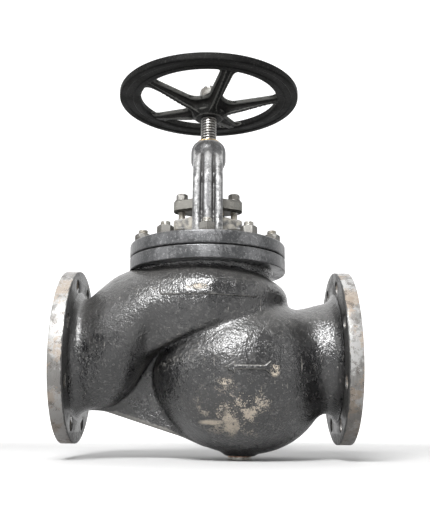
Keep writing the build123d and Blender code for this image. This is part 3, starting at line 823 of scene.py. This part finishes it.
def skin_field(x, y, z):
    """The outer skin, with fillets to the backs of the flanges."""
    lower = smooth_min(balls_field(x, y, z), neck_field(x, y, z), 20)
    upper = smooth_min(chamber_field(x, y, z), arm_field(x, y, z), 30)
    crease = CREASE_DEPTH * np.exp(-(((upper - lower) / CREASE_WIDE) ** 2))
    skin = smooth_min(smooth_min(upper, lower, 7) + crease, web_field(x, y, z), 8)
    skin = smooth_min(skin, boss_field(x, y, z), 8)
    plates = np.maximum(FLANGE_BACK + 0.5 - np.abs(x), np.hypot(y, z) - 117)
    neck = np.maximum(np.hypot(x, y) - 110, 110 - z)
    skin = smooth_min(skin, neck, 9)
    collar = np.maximum(BODY_FLANGE_BOTTOM + 0.7 - z, np.hypot(x, y) - 126)
    return smooth_min(smooth_min(skin, plates, 20), collar, 6)


def passage_field(x, y, z):
    """The outlet side above the seat and the inlet side below it."""
    bore = np.hypot(y, z) - (BORE_R + 0.15)
    above = smooth_min(arm_field(x, y, z) + WALL, chamber_field(x, y, z, 2 * WALL) + WALL, 20)
    above = smooth_min(above, np.maximum(bore, x + 195), 12)
    above = np.minimum(above, np.maximum(np.hypot(x, y) - 98, 70 - z))
    seat = np.maximum(np.hypot(x, y) - 93, np.maximum(30 - z, z - 90))
    above = smooth_min(above, seat, 5)
    below = smooth_min(balls_field(x, y, z) + WALL, np.maximum(bore, 150 - x), 16)
    below = smooth_max(below, (z + 2 - 24 - SLOPE * x) * 0.96, 10)
    block = np.maximum(np.hypot(x, y) - 106, 12 - z)
    below = smooth_max(below, -block, 8)
    hole = np.maximum(np.hypot(x, y) - 80.3, np.abs(z - 30) - 35)
    return np.minimum(np.minimum(above, below), hole)


def casting_field(x, y, z):
    """The whole casting: skin less passages, ended inside the flanges."""
    metal = np.maximum(skin_field(x, y, z), -passage_field(x, y, z))
    ends = np.maximum(np.abs(x) - (FLANGE_BACK + 1.6), z - (BODY_FLANGE_BOTTOM + 7))
    return np.maximum(metal, np.maximum(ends, -161 - z))


# %% [markdown]
# The field is turned into a skin of nearly square faces, a few millimetres apart. A finer mesh
# costs triangles and shows no more, because the rough sand surface comes from the bump.

# %% Piece: body casting
CAST_STEP = 3.4
shape = carve(casting_field, (-222, -150, -168), (222, 150, 156), CAST_STEP)
make_piece(
    "body_casting", shape, CASTING_PAINT, "valve_body", ("body",), sharp=40,
    attributes={"relief": relief_of(skin_field, shape[0], 5)}, tidy=False,
)

# %% [markdown]
# The body's top flange is a plain turned ring, so a profile round the stem axis makes it well.
# Its underside is flush with the casting, and its outer edges are broken by a small round.

# %% Piece: body top flange
shape = turned(rounded([(98, BODY_FLANGE_BOTTOM + 2), (98, SPLIT_Z), (BONNET_R, SPLIT_Z),
                        (BONNET_R, BODY_FLANGE_BOTTOM), (112, BODY_FLANGE_BOTTOM)], 1.6), 200)
make_piece("body_top_flange", shape, BONNET_PAINT, "valve_body", ("body",))

# %% [markdown]
# A pipe flange is a thick plate with a bore and eight bolt holes. A flat filled outline with a
# thickness and a small bevel makes the plate with true round holes, and then it becomes a mesh
# and is turned to stand across the pipe. The raised sealing face is a turned ring on it.

# %% Pieces: pipe flanges
PLATE_THICK = 23.0
PLATE_BEVEL = 1.3


def plate_with_holes(name, circles, thick, bevel):
    """A flat plate bounded by circles given as (x, y, radius, points), as a mesh in millimetres."""
    curve = bpy.data.curves.new(name, "CURVE")
    curve.dimensions = "2D"
    curve.fill_mode = "BOTH"
    curve.extrude = thick / 2 - bevel
    curve.bevel_depth = bevel
    curve.bevel_resolution = 2
    curve.offset = -bevel
    for x, y, radius, count in circles:
        angle = np.arange(count) * 2 * pi / count
        around = (x + radius * np.cos(angle), y + radius * np.sin(angle))
        ring = np.stack((*around, 0 * angle, 1 + 0 * angle), -1)
        line = curve.splines.new("POLY")
        line.points.add(count - 1)
        line.points.foreach_set("co", ring.ravel())
        line.use_cyclic_u = True
    holder = bpy.data.objects.new(name + "_outline", curve)
    bpy.context.scene.collection.objects.link(holder)
    bpy.context.view_layer.update()
    mesh = bpy.data.meshes.new_from_object(holder.evaluated_get(bpy.context.evaluated_depsgraph_get()))
    bpy.data.objects.remove(holder)
    return mesh


def finish_mesh(name, mesh, material, body, nodes, sharp=32):
    """Merges, shades and places a mesh that is already in metres."""
    work = bmesh.new()
    work.from_mesh(mesh)
    bmesh.ops.remove_doubles(work, verts=work.verts, dist=1e-5)
    bmesh.ops.recalc_face_normals(work, faces=work.faces)
    work.to_mesh(mesh)
    work.free()
    mesh.materials.clear()
    mesh.materials.append(material)
    mesh.shade_smooth()
    mesh.set_sharp_from_angle(angle=radians(sharp))
    thing = bpy.data.objects.new(name, mesh)
    bpy.context.scene.collection.objects.link(thing)
    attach(thing, body)
    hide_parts(*nodes)
    print(name, "points", len(mesh.vertices), "faces", len(mesh.polygons))
    return thing


def pipe_flange(name, side):
    """One pipe flange plate, side -1 at the outlet and +1 at the inlet."""
    angles = radians(22.5) + np.arange(8) * pi / 4
    circles = [(0, 0, PIPE_FLANGE_R, 240), (0, 0, BORE_R, 128)]
    circles += [(120 * cos(a), 120 * sin(a), 11.5, 40) for a in angles]
    mesh = plate_with_holes(name, circles, PLATE_THICK, PLATE_BEVEL)
    middle = side * (FLANGE_BACK + PLATE_THICK / 2) * MM + STEM_X
    turn = Matrix(((0, 0, MM, middle), (MM, 0, 0, 0), (0, MM, 0, 0), (0, 0, 0, 1)))
    mesh.transform(turn)
    return finish_mesh(name, mesh, MACHINED_RIM, "valve_body", ("body",))


for side, label in ((-1, "outlet"), (1, "inlet")):
    pipe_flange(label + "_flange", side)
    face = [(BORE_R, side * (HALF_LENGTH - 6)), (106, side * (HALF_LENGTH - 6))]
    face += [(106, side * HALF_LENGTH), (BORE_R, side * HALF_LENGTH)]
    make_piece(label + "_raised_face", turned(rounded(face, 0.8), 200, "x"), MACHINED_RIM,
               "valve_body", ("body",))

# %% [markdown]
# Marks stand about two millimetres proud of the skin: a blank name pad on the upper chamber and
# a flow arrow on the lower one. Each is a height over a grid that faces the viewer. Its points
# start at the skin, found by halving steps along Y, and only the raised part is kept.

# %% Pieces: blank name pad and flow arrow
def skin_depth(x, z):
    """Y of the front skin at each x and z, by bisection."""
    outside, inside = np.full(x.shape, -165.0), np.full(x.shape, -40.0)
    for _ in range(24):
        middle = (outside + inside) / 2
        solid = skin_field(x, middle, z) < 0
        inside, outside = np.where(solid, middle, inside), np.where(solid, outside, middle)
    return inside


def box_2d(x, z, centre, half, corner):
    """Distance to a rounded rectangle."""
    dx, dz = np.abs(x - centre[0]) - half[0] + corner, np.abs(z - centre[1]) - half[1] + corner
    return np.hypot(np.maximum(dx, 0), np.maximum(dz, 0)) + np.minimum(np.maximum(dx, dz), 0) - corner


def pad_outline(x, z):
    """A plain rounded bar."""
    return box_2d(x, z, (4, 97.5), (76, 13.5), 5)


def arrow_outline(x, z):
    """A flow arrow that points to the outlet: head, shaft and a flared tail."""
    up = np.abs(z + 26)
    head = np.maximum(up * 0.87 - (x - 28) * 0.49, x - 44)
    shaft = np.maximum(up - 3, np.abs(x - 66) - 24)
    tail = np.maximum(up - 3 - np.maximum(x - 88, 0) * 0.7, np.maximum(84 - x, x - 98))
    return np.minimum(np.minimum(head, shaft), tail)


def raised_mark(name, outline, low, high, step, proud):
    """A raised patch on the front skin inside an outline."""
    x, z = np.meshgrid(np.arange(low[0], high[0], step), np.arange(low[1], high[1], step), indexing="ij")
    rise = np.clip(-outline(x, z) / 1.6 + 0.35, -0.6, 1)
    skin = skin_depth(x, z)
    normal = slopes(skin_field, np.stack((x, skin, z), -1).reshape(-1, 3), 0.5)
    normal /= np.linalg.norm(normal, axis=-1, keepdims=True)
    points = np.stack((x, skin, z), -1).reshape(-1, 3) + normal * (proud * rise.reshape(-1, 1))
    faces = grid_faces(*x.shape, wrap_columns=False)
    faces = faces[(rise.ravel()[faces] > -0.55).any(-1)]
    used, compact = np.unique(faces, return_inverse=True)
    relief = np.where(rise > 0.2, np.where(rise > 0.98, 0.2, 0.6), -0.7).ravel()[used]
    make_piece(name, (points[used], compact.reshape(-1, 4)), CASTING_PAINT, "valve_body",
               ("body",), sharp=0, attributes={"relief": relief}, tidy=False)


raised_mark("name_pad", pad_outline, (-76, 80), (84, 115), 1.1, 2.6)
raised_mark("flow_arrow", arrow_outline, (24, -42), (102, -10), 0.8, 3.2)

# %% [markdown]
# The bonnet's flange, spigot and hollow are turned. Its dome, stuffing box, lugs, yoke arms and
# yoke head flow into each other, so they are a field like the body's, on a finer grid. Each arm
# is a web between two curves of height, with three ribs on its outer side.

# %% Fields of the bonnet
ARM_INNER = ((186, 60), (215, 52), (240, 47), (300, 47), (336, 34), (348, 24))
WEB_OUTER = ((186, 80), (215, 66), (240, 59), (306, 57), (338, 42), (354, 26), (362, 18))
RIB_OUTER = ((186, 92), (215, 74), (240, 66), (306, 65), (340, 50), (358, 34), (368, 20))
DOME = ((184, 86), (190, 78), (199, 60), (212, 44), (224, 34), (240, 34))
HEAD = ((333, 25.6), (346, 31), (366, 31), (372, 30), (378, 27), (383, 22), (386, 17))
HEAD_LOW, HEAD_HIGH = 333, 386
BOX_TOP = 238


def between(y, z, outer):
    """Inside the arm's two curves of height, at the front and at the back."""
    far = np.abs(y)
    slab = np.maximum(eased(z, ARM_INNER, 7) - far, far - eased(z, outer, 7)) * 0.93
    return np.maximum(slab, np.maximum(186 - z, z - 368))


def capsule(x, y, waist, end, span):
    """Distance to the outline round a large circle and a small one on each side."""
    b = (waist - end) / span
    a = np.sqrt(1 - b * b)
    far, up = np.abs(y), np.abs(x)
    along = -b * far + a * up
    side = a * far + b * up - waist
    tip = np.where(along > a * span, np.hypot(far, up - span) - end, side)
    return np.where(along < 0, np.hypot(far, up) - waist, tip)


def yoke_field(x, y, z):
    """Dome, stuffing box, lugs, two ribbed arms and the head, less the bores."""
    rho = np.hypot(x, y)
    dome = smooth_max((rho - eased(z, DOME, 4)) * 0.55, z - BOX_TOP, 2.5)
    ground = np.maximum(z - FLANGE_TOP + 0.4, rho - 100)
    lugs = smooth_max(capsule(x, y, 34, 14.5, 46), np.abs(z - 228.5) - 9.5, 3)
    web = smooth_max(between(y, z, WEB_OUTER), np.abs(x) - 24.5, 5)
    rib = np.minimum(np.abs(np.abs(x) - 18.5) - 6, np.abs(x) - 7.5)
    ribs = smooth_max(between(y, z + 0.45 * np.abs(x), RIB_OUTER), rib, 6)
    arms = smooth_min(web, ribs, 5)
    head = smooth_max(rho - eased(z, HEAD, 3), np.abs(z - (HEAD_LOW + HEAD_HIGH) / 2) - 26.5, 3)
    metal = smooth_min(smooth_min(dome, lugs, 7), ground, 9)
    metal = smooth_min(metal, smooth_min(arms, head, 9), 7)
    bore = np.where(z < 200, 19.6, np.where(z < 300, 22.1, 20.1))
    return np.maximum(np.maximum(metal, bore - rho), np.maximum(FLANGE_TOP - 2.4 - z, rho - 99))


# %% [markdown]
# The bonnet is one casting too. Its flange is turned, so a profile makes it, and the yoke with
# its lugs is carved from its field as the body is. They are two pieces on one CAD node.

# %% Pieces: bonnet flange and yoke
outline = [(19.6, 182), (26, 182), (26, 178), (58, 176), (70, 164), (70, 158), (97.4, 158), (97.4, 166)]
outline += [(BONNET_R, 166), (BONNET_R, FLANGE_TOP), (19.6, FLANGE_TOP)]
shape = turned(rounded(outline, 3.5, 6), 200)
make_piece("bonnet_flange", shape, BONNET_PAINT, "valve_body", ("bonnet",))
shape = carve(yoke_field, (-104, -104, 182), (104, 104, 390), 2.0)
make_piece("bonnet_yoke", shape, YOKE_IRON, "valve_body", ("bonnet",), sharp=40,
           attributes={"relief": relief_of(yoke_field, shape[0], 3)}, tidy=False)

# %% [markdown]
# Nuts, studs and washers repeat, so each is a function with its place. A hexagon is a radius
# that depends on the angle, cut by a cone at its top for the chamfer. A thread is a radius that
# depends on the height and the angle together, which makes a true helix.

# %% Fastener shapes
def hexagon_nut(across, height, hole, place, turn=0.0, chamfer=True):
    """A hexagon nut standing on its place, with a chamfered top and a bore."""
    angle = np.arange(96) * 2 * pi / 96
    flat = across / 2 / np.cos((angle + pi / 6) % (pi / 3) - pi / 6)
    corner = across / 2 / cos(pi / 6)
    levels = np.concatenate(([0, 0.04 * height], height * np.linspace(0.84, 1, 7)))
    cone = corner + 0.3 - np.maximum(levels - 0.84 * height, 0) * 1.35 - 0.5 * (levels == 0)
    rows = [np.full(96, hole)] + [np.minimum(flat, c) for c in cone]
    rows += [np.full(96, hole + 0.8), np.full(96, hole)]
    heights = [0.0, *levels, height, height - 0.8]
    radius, up = np.array(rows), np.broadcast_to(np.array(heights)[:, None], (len(rows), 96))
    spin = angle + turn
    points = np.stack((radius * np.cos(spin), radius * np.sin(spin), up), -1).reshape(-1, 3) + place
    return points, grid_faces(len(rows), 96, wrap_rows=True)


def threaded_rod(radius, low, high, pitch, depth, place=(0, 0), segments=32, tip=1.2):
    """A rod with a helical thread and a chamfered top end, closed at both ends."""
    levels = np.arange(low, high + 1e-6, pitch / 8)
    angle = np.arange(segments) * 2 * pi / segments
    phase = (levels[:, None] / pitch - angle / (2 * pi)) % 1
    wave = np.clip(np.abs(phase - 0.5) * 4 - 0.5, 0, 1)
    near_end = np.clip((high - levels) / tip, 0, 1)[:, None]
    rod = np.minimum(radius - depth * wave, radius - tip * (1 - near_end))
    rod = np.concatenate((np.full((1, segments), 0.01), rod, np.full((1, segments), 0.01)))
    up = np.concatenate(([levels[0]], levels, [levels[-1] + 0.3]))[:, None] + 0 * rod
    points = np.stack((rod * np.cos(angle), rod * np.sin(angle), up), -1).reshape(-1, 3)
    return points + (*place, 0), grid_faces(len(levels) + 2, segments)


def washer(radius, hole, low, high, place=(0, 0)):
    """A plain washer with slightly rounded edges."""
    outline = rounded([(hole, low), (radius, low), (radius, high), (hole, high)], 0.5, 4)
    return turned(outline, 64, centre=(*place, 0))


# %% [markdown]
# Ten studs stand round the bonnet with a nut on each. Each set is one piece, because the studs
# share a node, and every nut is turned a little differently, as a spanner leaves them.

# %% Pieces: bonnet studs and nuts
STUD_TOP = box_mm("bonnet_studs")[1][2]
NUT_TOP = box_mm("bonnet_nuts")[1][2]
stud_angles = -pi / 2 + np.arange(10) * 2 * pi / 10
stud_places = [(115 * cos(a), 115 * sin(a)) for a in stud_angles]
studs = [threaded_rod(8, FLANGE_TOP - 6, STUD_TOP - 0.4, 2.0, 0.9, p, 32) for p in stud_places]
make_piece("bonnet_stud_set", join_grids(studs), STUD_STEEL, "valve_body", ("bonnet_studs",))
nuts = [hexagon_nut(24, NUT_TOP - FLANGE_TOP, 7.4, (x, y, FLANGE_TOP), turn=0.37 * i * i)
        for i, (x, y) in enumerate(stud_places)]
make_piece("bonnet_nut_set", join_grids(nuts), NUT_ZINC, "valve_body", ("bonnet_nuts",))

# %% [markdown]
# The gland is a waisted plate held by two studs. Its outline is a support curve: for each
# direction, the point furthest out on the middle circle or on an end circle. Following that
# outline with a rounded edge profile makes the whole plate.

# %% Pieces: gland flange, studs, washers and nuts
GLAND_LOW, GLAND_HIGH = box_mm("gland_flange")[0][2], box_mm("gland_flange")[1][2]
GLAND_SPAN = 46


def gland_plate():
    """Rows of the waisted outline at changing insets and heights, closed through the bore."""
    angle = np.arange(180) * 2 * pi / 180
    out = np.stack((np.cos(angle), np.sin(angle)), -1)
    reach_end = GLAND_SPAN * np.abs(out[:, 0]) + 14.5
    on_end = (reach_end > 34)[:, None]
    centre = np.where(on_end, np.sign(out[:, :1]) * (GLAND_SPAN, 0), 0)
    radius = np.where(on_end, 14.5, 34.0)
    rim = rounded([(0, GLAND_LOW), (0, GLAND_HIGH), (9, GLAND_HIGH), (9, GLAND_LOW)], 2.6, 6)
    edge = rim[rim[:, 0] < 8.9]
    edge = edge[np.argsort(edge[:, 1], kind="stable")]
    rows = [
        np.concatenate((centre + (radius - inset) * out, np.full((180, 1), z)), -1)
        for inset, z in edge
    ]
    bore = [np.concatenate((18.0 * out, np.full((180, 1), z)), -1) for z in (GLAND_HIGH, GLAND_LOW)]
    rows = np.array(rows + bore)
    return rows.reshape(-1, 3), grid_faces(len(rows), 180, wrap_rows=True)


make_piece(
    "gland_plate", gland_plate(), GLAND_IRON, "valve_body", ("gland_flange",), sharp=40,
)
sides = ((-GLAND_SPAN, 0), (GLAND_SPAN, 0))
rods = [threaded_rod(6, 232, 287.1, 1.75, 0.8, p, 32, 1.0) for p in sides]
make_piece("gland_stud_set", join_grids(rods), STUD_STEEL, "valve_body", ("gland_studs",))
rings = [washer(12, 6.4, GLAND_HIGH, GLAND_HIGH + 2.5, p) for p in sides]
make_piece("gland_washer_set", join_grids(rings), NUT_ZINC, "valve_body", ("gland_washers",))
nuts = [
    hexagon_nut(18, 10.8, 5.5, (x, 0, GLAND_HIGH + 2.5), turn=0.4 + 0.3 * i)
    for i, (x, _) in enumerate(sides)
]
make_piece("gland_nut_set", join_grids(nuts), NUT_ZINC, "valve_body", ("gland_nuts",))

# %% [markdown]
# The stem is turned steel with a coarse trapezoid thread where it runs through the stem nut.
# The same radius law as the studs makes the thread, and plain lengths above and below it.

# %% Piece: stem
def stem_shape():
    """Head, back-seat collar, plain length, helical thread and wheel seat, as one skin."""
    low = box_mm("stem")[0][2]
    below = [(0.01, low), (8, low), (12, low + 2), (20, low + 2), (20, low + 9.7), (14, low + 9.7)]
    below += [(14, 168), (20, 174), (20, 177.5), (14, 177.5), (14, 324)]
    above = [(14, 429.5), (11, 429.5), (11, 470), (10, 471), (10, 492), (8.5, 494), (0.01, 494)]
    levels = np.arange(325, 428.6, 0.5)
    angle = np.arange(72) * 2 * pi / 72
    phase = (levels[:, None] / 5 - angle / (2 * pi)) % 1
    depth = 2.3 * np.clip(1.6 - np.abs(phase - 0.5) * 7, 0, 1)
    ends = np.clip(np.minimum(levels - 325, 428.5 - levels) / 3, 0, 1)[:, None]
    radius = np.concatenate([np.repeat([[r]], 72, 1) for r, _ in below] + [14 - depth * ends]
                            + [np.repeat([[r]], 72, 1) for r, _ in above])
    up = np.concatenate(([z for _, z in below], levels, [z for _, z in above]))[:, None] + 0 * radius
    points = np.stack((radius * np.cos(angle), radius * np.sin(angle), up), -1).reshape(-1, 3)
    relief = np.zeros_like(radius)
    # Thread roots get negative relief, which the finish darkens as painted shade.
    relief[len(below):len(below) + len(levels)] -= 0.75 * depth / 2.3
    return (points, grid_faces(len(radius), 72)), relief.ravel()


shape, thread_root_shade = stem_shape()
make_piece("threaded_stem", shape, STEM_STEEL, "stem_and_handwheel", ("stem",),
           attributes={"relief": thread_root_shade}, tidy=False)

# %% [markdown]
# The handwheel is one casting. Its rim is turned, with steps on the underside. The spider inside
# it is a field: a shallow cone of plate with five rounded windows, a rib under each spoke and a
# hub in the middle.

# %% Pieces: handwheel
WHEEL_R = box_mm("handwheel")[1][1]
RIM_INNER, RIM_LOW, RIM_HIGH = 124, 463.5, 477
HUB_LOW, HUB_HIGH = 430, 466


HUB_INSET = 0.5


def spider_field(x, y, z):
    """Hub, cone of plate with windows, and ribs, joined with fillets."""
    rho = np.hypot(x, y)
    step = 2 * pi / 5
    angle = (np.arctan2(y, x) - radians(-2) + step / 2) % step - step / 2
    off, along = np.abs(rho * np.sin(angle)), rho * np.cos(angle)
    middle = 454.5 + (rho - 25) * 15.5 / 103
    plate = np.maximum(np.abs(z - middle) - 4.2, rho - 128)
    window = smooth_max(smooth_max(40 - rho, rho - RIM_INNER - 0.3, 4), 12 - off, 15)
    plate = smooth_max(plate, -window, 3.5)
    under = np.interp(along, (20, 60, 126), (436, 446, 465))
    rib = np.maximum(np.maximum(off - 4.5, under - z), np.maximum(z - middle, rho - 128))
    hub = np.maximum(rho - np.interp(z, (430, 440, 462, 466), (25, 31, 31, 28)), np.abs(z - 448) - 18)
    whole = smooth_min(smooth_min(plate, rib, 5), hub + HUB_INSET, 8)
    return np.maximum(whole, np.maximum(11.1 - rho, np.abs(z - 452) - 22.4))


low = RIM_LOW
rim = [(RIM_INNER, low + 2), (RIM_INNER + 4, low), (137, low)]
rim += [(138.2, low + 1.3), (150, low + 1.3), (151.2, low)]
rim += [(WHEEL_R, low), (WHEEL_R, RIM_HIGH), (151, RIM_HIGH), (149.5, RIM_HIGH - 0.9)]
rim += [(138, RIM_HIGH - 0.9), (136.5, RIM_HIGH), (RIM_INNER, RIM_HIGH)]
make_piece(
    "handwheel_rim", turned(rounded(rim, 3.4, 5), 240), WHEEL_PAINT,
    "stem_and_handwheel", ("handwheel",),
)
shape = carve(spider_field, (-132, -132, 426), (132, 132, 480), 2.2)
make_piece(
    "handwheel_spider", shape, WHEEL_PAINT, "stem_and_handwheel", ("handwheel",),
    sharp=40, attributes={"relief": relief_of(spider_field, shape[0], 3)}, tidy=False,
)
make_piece("wheel_washer", washer(18, 11, HUB_HIGH, HUB_HIGH + 3), NUT_ZINC, "stem_and_handwheel",
           ("handwheel_washer",))
nut = hexagon_nut(30, 16, 9.4, (0, 0, box_mm("handwheel_nut")[0][2]), turn=0.2)
make_piece("wheel_nut", nut, NUT_ZINC, "stem_and_handwheel", ("handwheel_nut",))

# %% [markdown]
# The small inner pieces keep their CAD shapes. Each takes the finish of its slot.

# %% Finishes on the carried-over pieces
SLOT_FINISH = {
    "cast_body_paint": CASTING_PAINT, "bonnet_paint": BONNET_PAINT, "gland_paint": GLAND_IRON,
    "wheel_paint": WHEEL_PAINT, "stem_steel": STEM_STEEL, "stud_steel": STUD_STEEL, "nut_steel": NUT_ZINC,
    "bronze": BRONZE, "copper": COPPER, "graphite": GRAPHITE, "disc_iron": DISC_IRON,
}
for part in frame["record"]["subparts"]:
    mesh = frame["nodes"][part["node"]].data
    mesh.materials.clear()
    mesh.materials.append(SLOT_FINISH[part["material_slot"]])

# %% [markdown]
# The stage is a pale floor that curves up into a backdrop on every side. Two soft lights stand in
# front, one on each side for the flange rims and one above, in a dim white surround.

# %% Floor, lights and surround
def make_floor():
    """A pale dish: flat under the part, and curving up all round, far from it."""
    low = min(corner[2] for corner in CAD_BOUNDS)
    radius = np.concatenate(([0.01], np.linspace(0.4, 8.0, 40)))[:, None]
    angle = np.arange(72)[None, :] * 2 * pi / 72
    rise = low + np.maximum(radius - 3.3, 0) ** 2 * 0.6
    grid = np.broadcast_arrays(radius * np.cos(angle) + STEM_X, radius * np.sin(angle), rise)
    points = np.stack(grid, -1).reshape(-1, 3)
    mesh = bpy.data.meshes.new("floor")
    mesh.from_pydata(points.tolist(), [], grid_faces(41, 72)[:, ::-1].tolist())
    mesh.shade_smooth()
    material, tree, shader, place, bump = new_finish("pale_floor", bump_mm=0.2)
    cloud = spots(tree, place, 1.5, 2)
    behind = band(tree, add(tree, "ShaderNodeSeparateXYZ", 1, Vector=place), 0.4, 1.8)
    glow = blend_colour(tree, behind, (0, 0, 0), (0.95, 0.95, 0.95))
    tree.links.new(glow, shader.inputs["Emission Color"])
    shader.inputs["Emission Strength"].default_value = 1.0
    finish_with(tree, shader, blend_colour(tree, cloud, (0.44, 0.44, 0.44), (0.48, 0.48, 0.48)),
                math(tree, "ADD", 0.75, math(tree, "MULTIPLY", cloud, 0.1)), bump, cloud)
    mesh.materials.append(material)
    floor = bpy.data.objects.new("floor", mesh)
    bpy.context.scene.collection.objects.link(floor)


def soft_light(name, place, target, size, power):
    """A square area light aimed at a target, in metres."""
    data = bpy.data.lights.new(name, "AREA")
    data.shape = "RECTANGLE"
    data.size, data.size_y = size
    data.energy = power
    lamp = bpy.data.objects.new(name, data)
    bpy.context.scene.collection.objects.link(lamp)
    away = Vector(place) - Vector(target)
    lamp.matrix_world = Matrix.Translation(place) @ away.to_track_quat("Z", "Y").to_matrix().to_4x4()


make_floor()
soft_light("key_light", (STEM_X - 0.4, -1.75, 1.6), (STEM_X, 0, 0.05), (1.0, 0.8), 125)
soft_light("front_light", (STEM_X - 0.3, -2.5, 0.55), (STEM_X, 0, 0.2), (0.3, 0.45), 7)
soft_light("left_light", (STEM_X - 1.9, -0.9, 0.7), (STEM_X, 0, 0.1), (0.7, 1.3), 14)
soft_light("right_light", (STEM_X + 1.9, -0.8, 0.6), (STEM_X, 0, 0.1), (0.7, 1.3), 9)
soft_light("top_light", (STEM_X, 0.5, 2.3), (STEM_X, 0, 0.2), (1.6, 1.6), 18)
world = bpy.data.worlds.new("surround")
world.use_nodes = True
world.node_tree.nodes["Background"].inputs["Color"].default_value = (1, 1, 1, 1)
world.node_tree.nodes["Background"].inputs["Strength"].default_value = 0.16
bpy.context.scene.world = world
bpy.context.scene.view_settings.view_transform = "Standard"
print("stage ready")
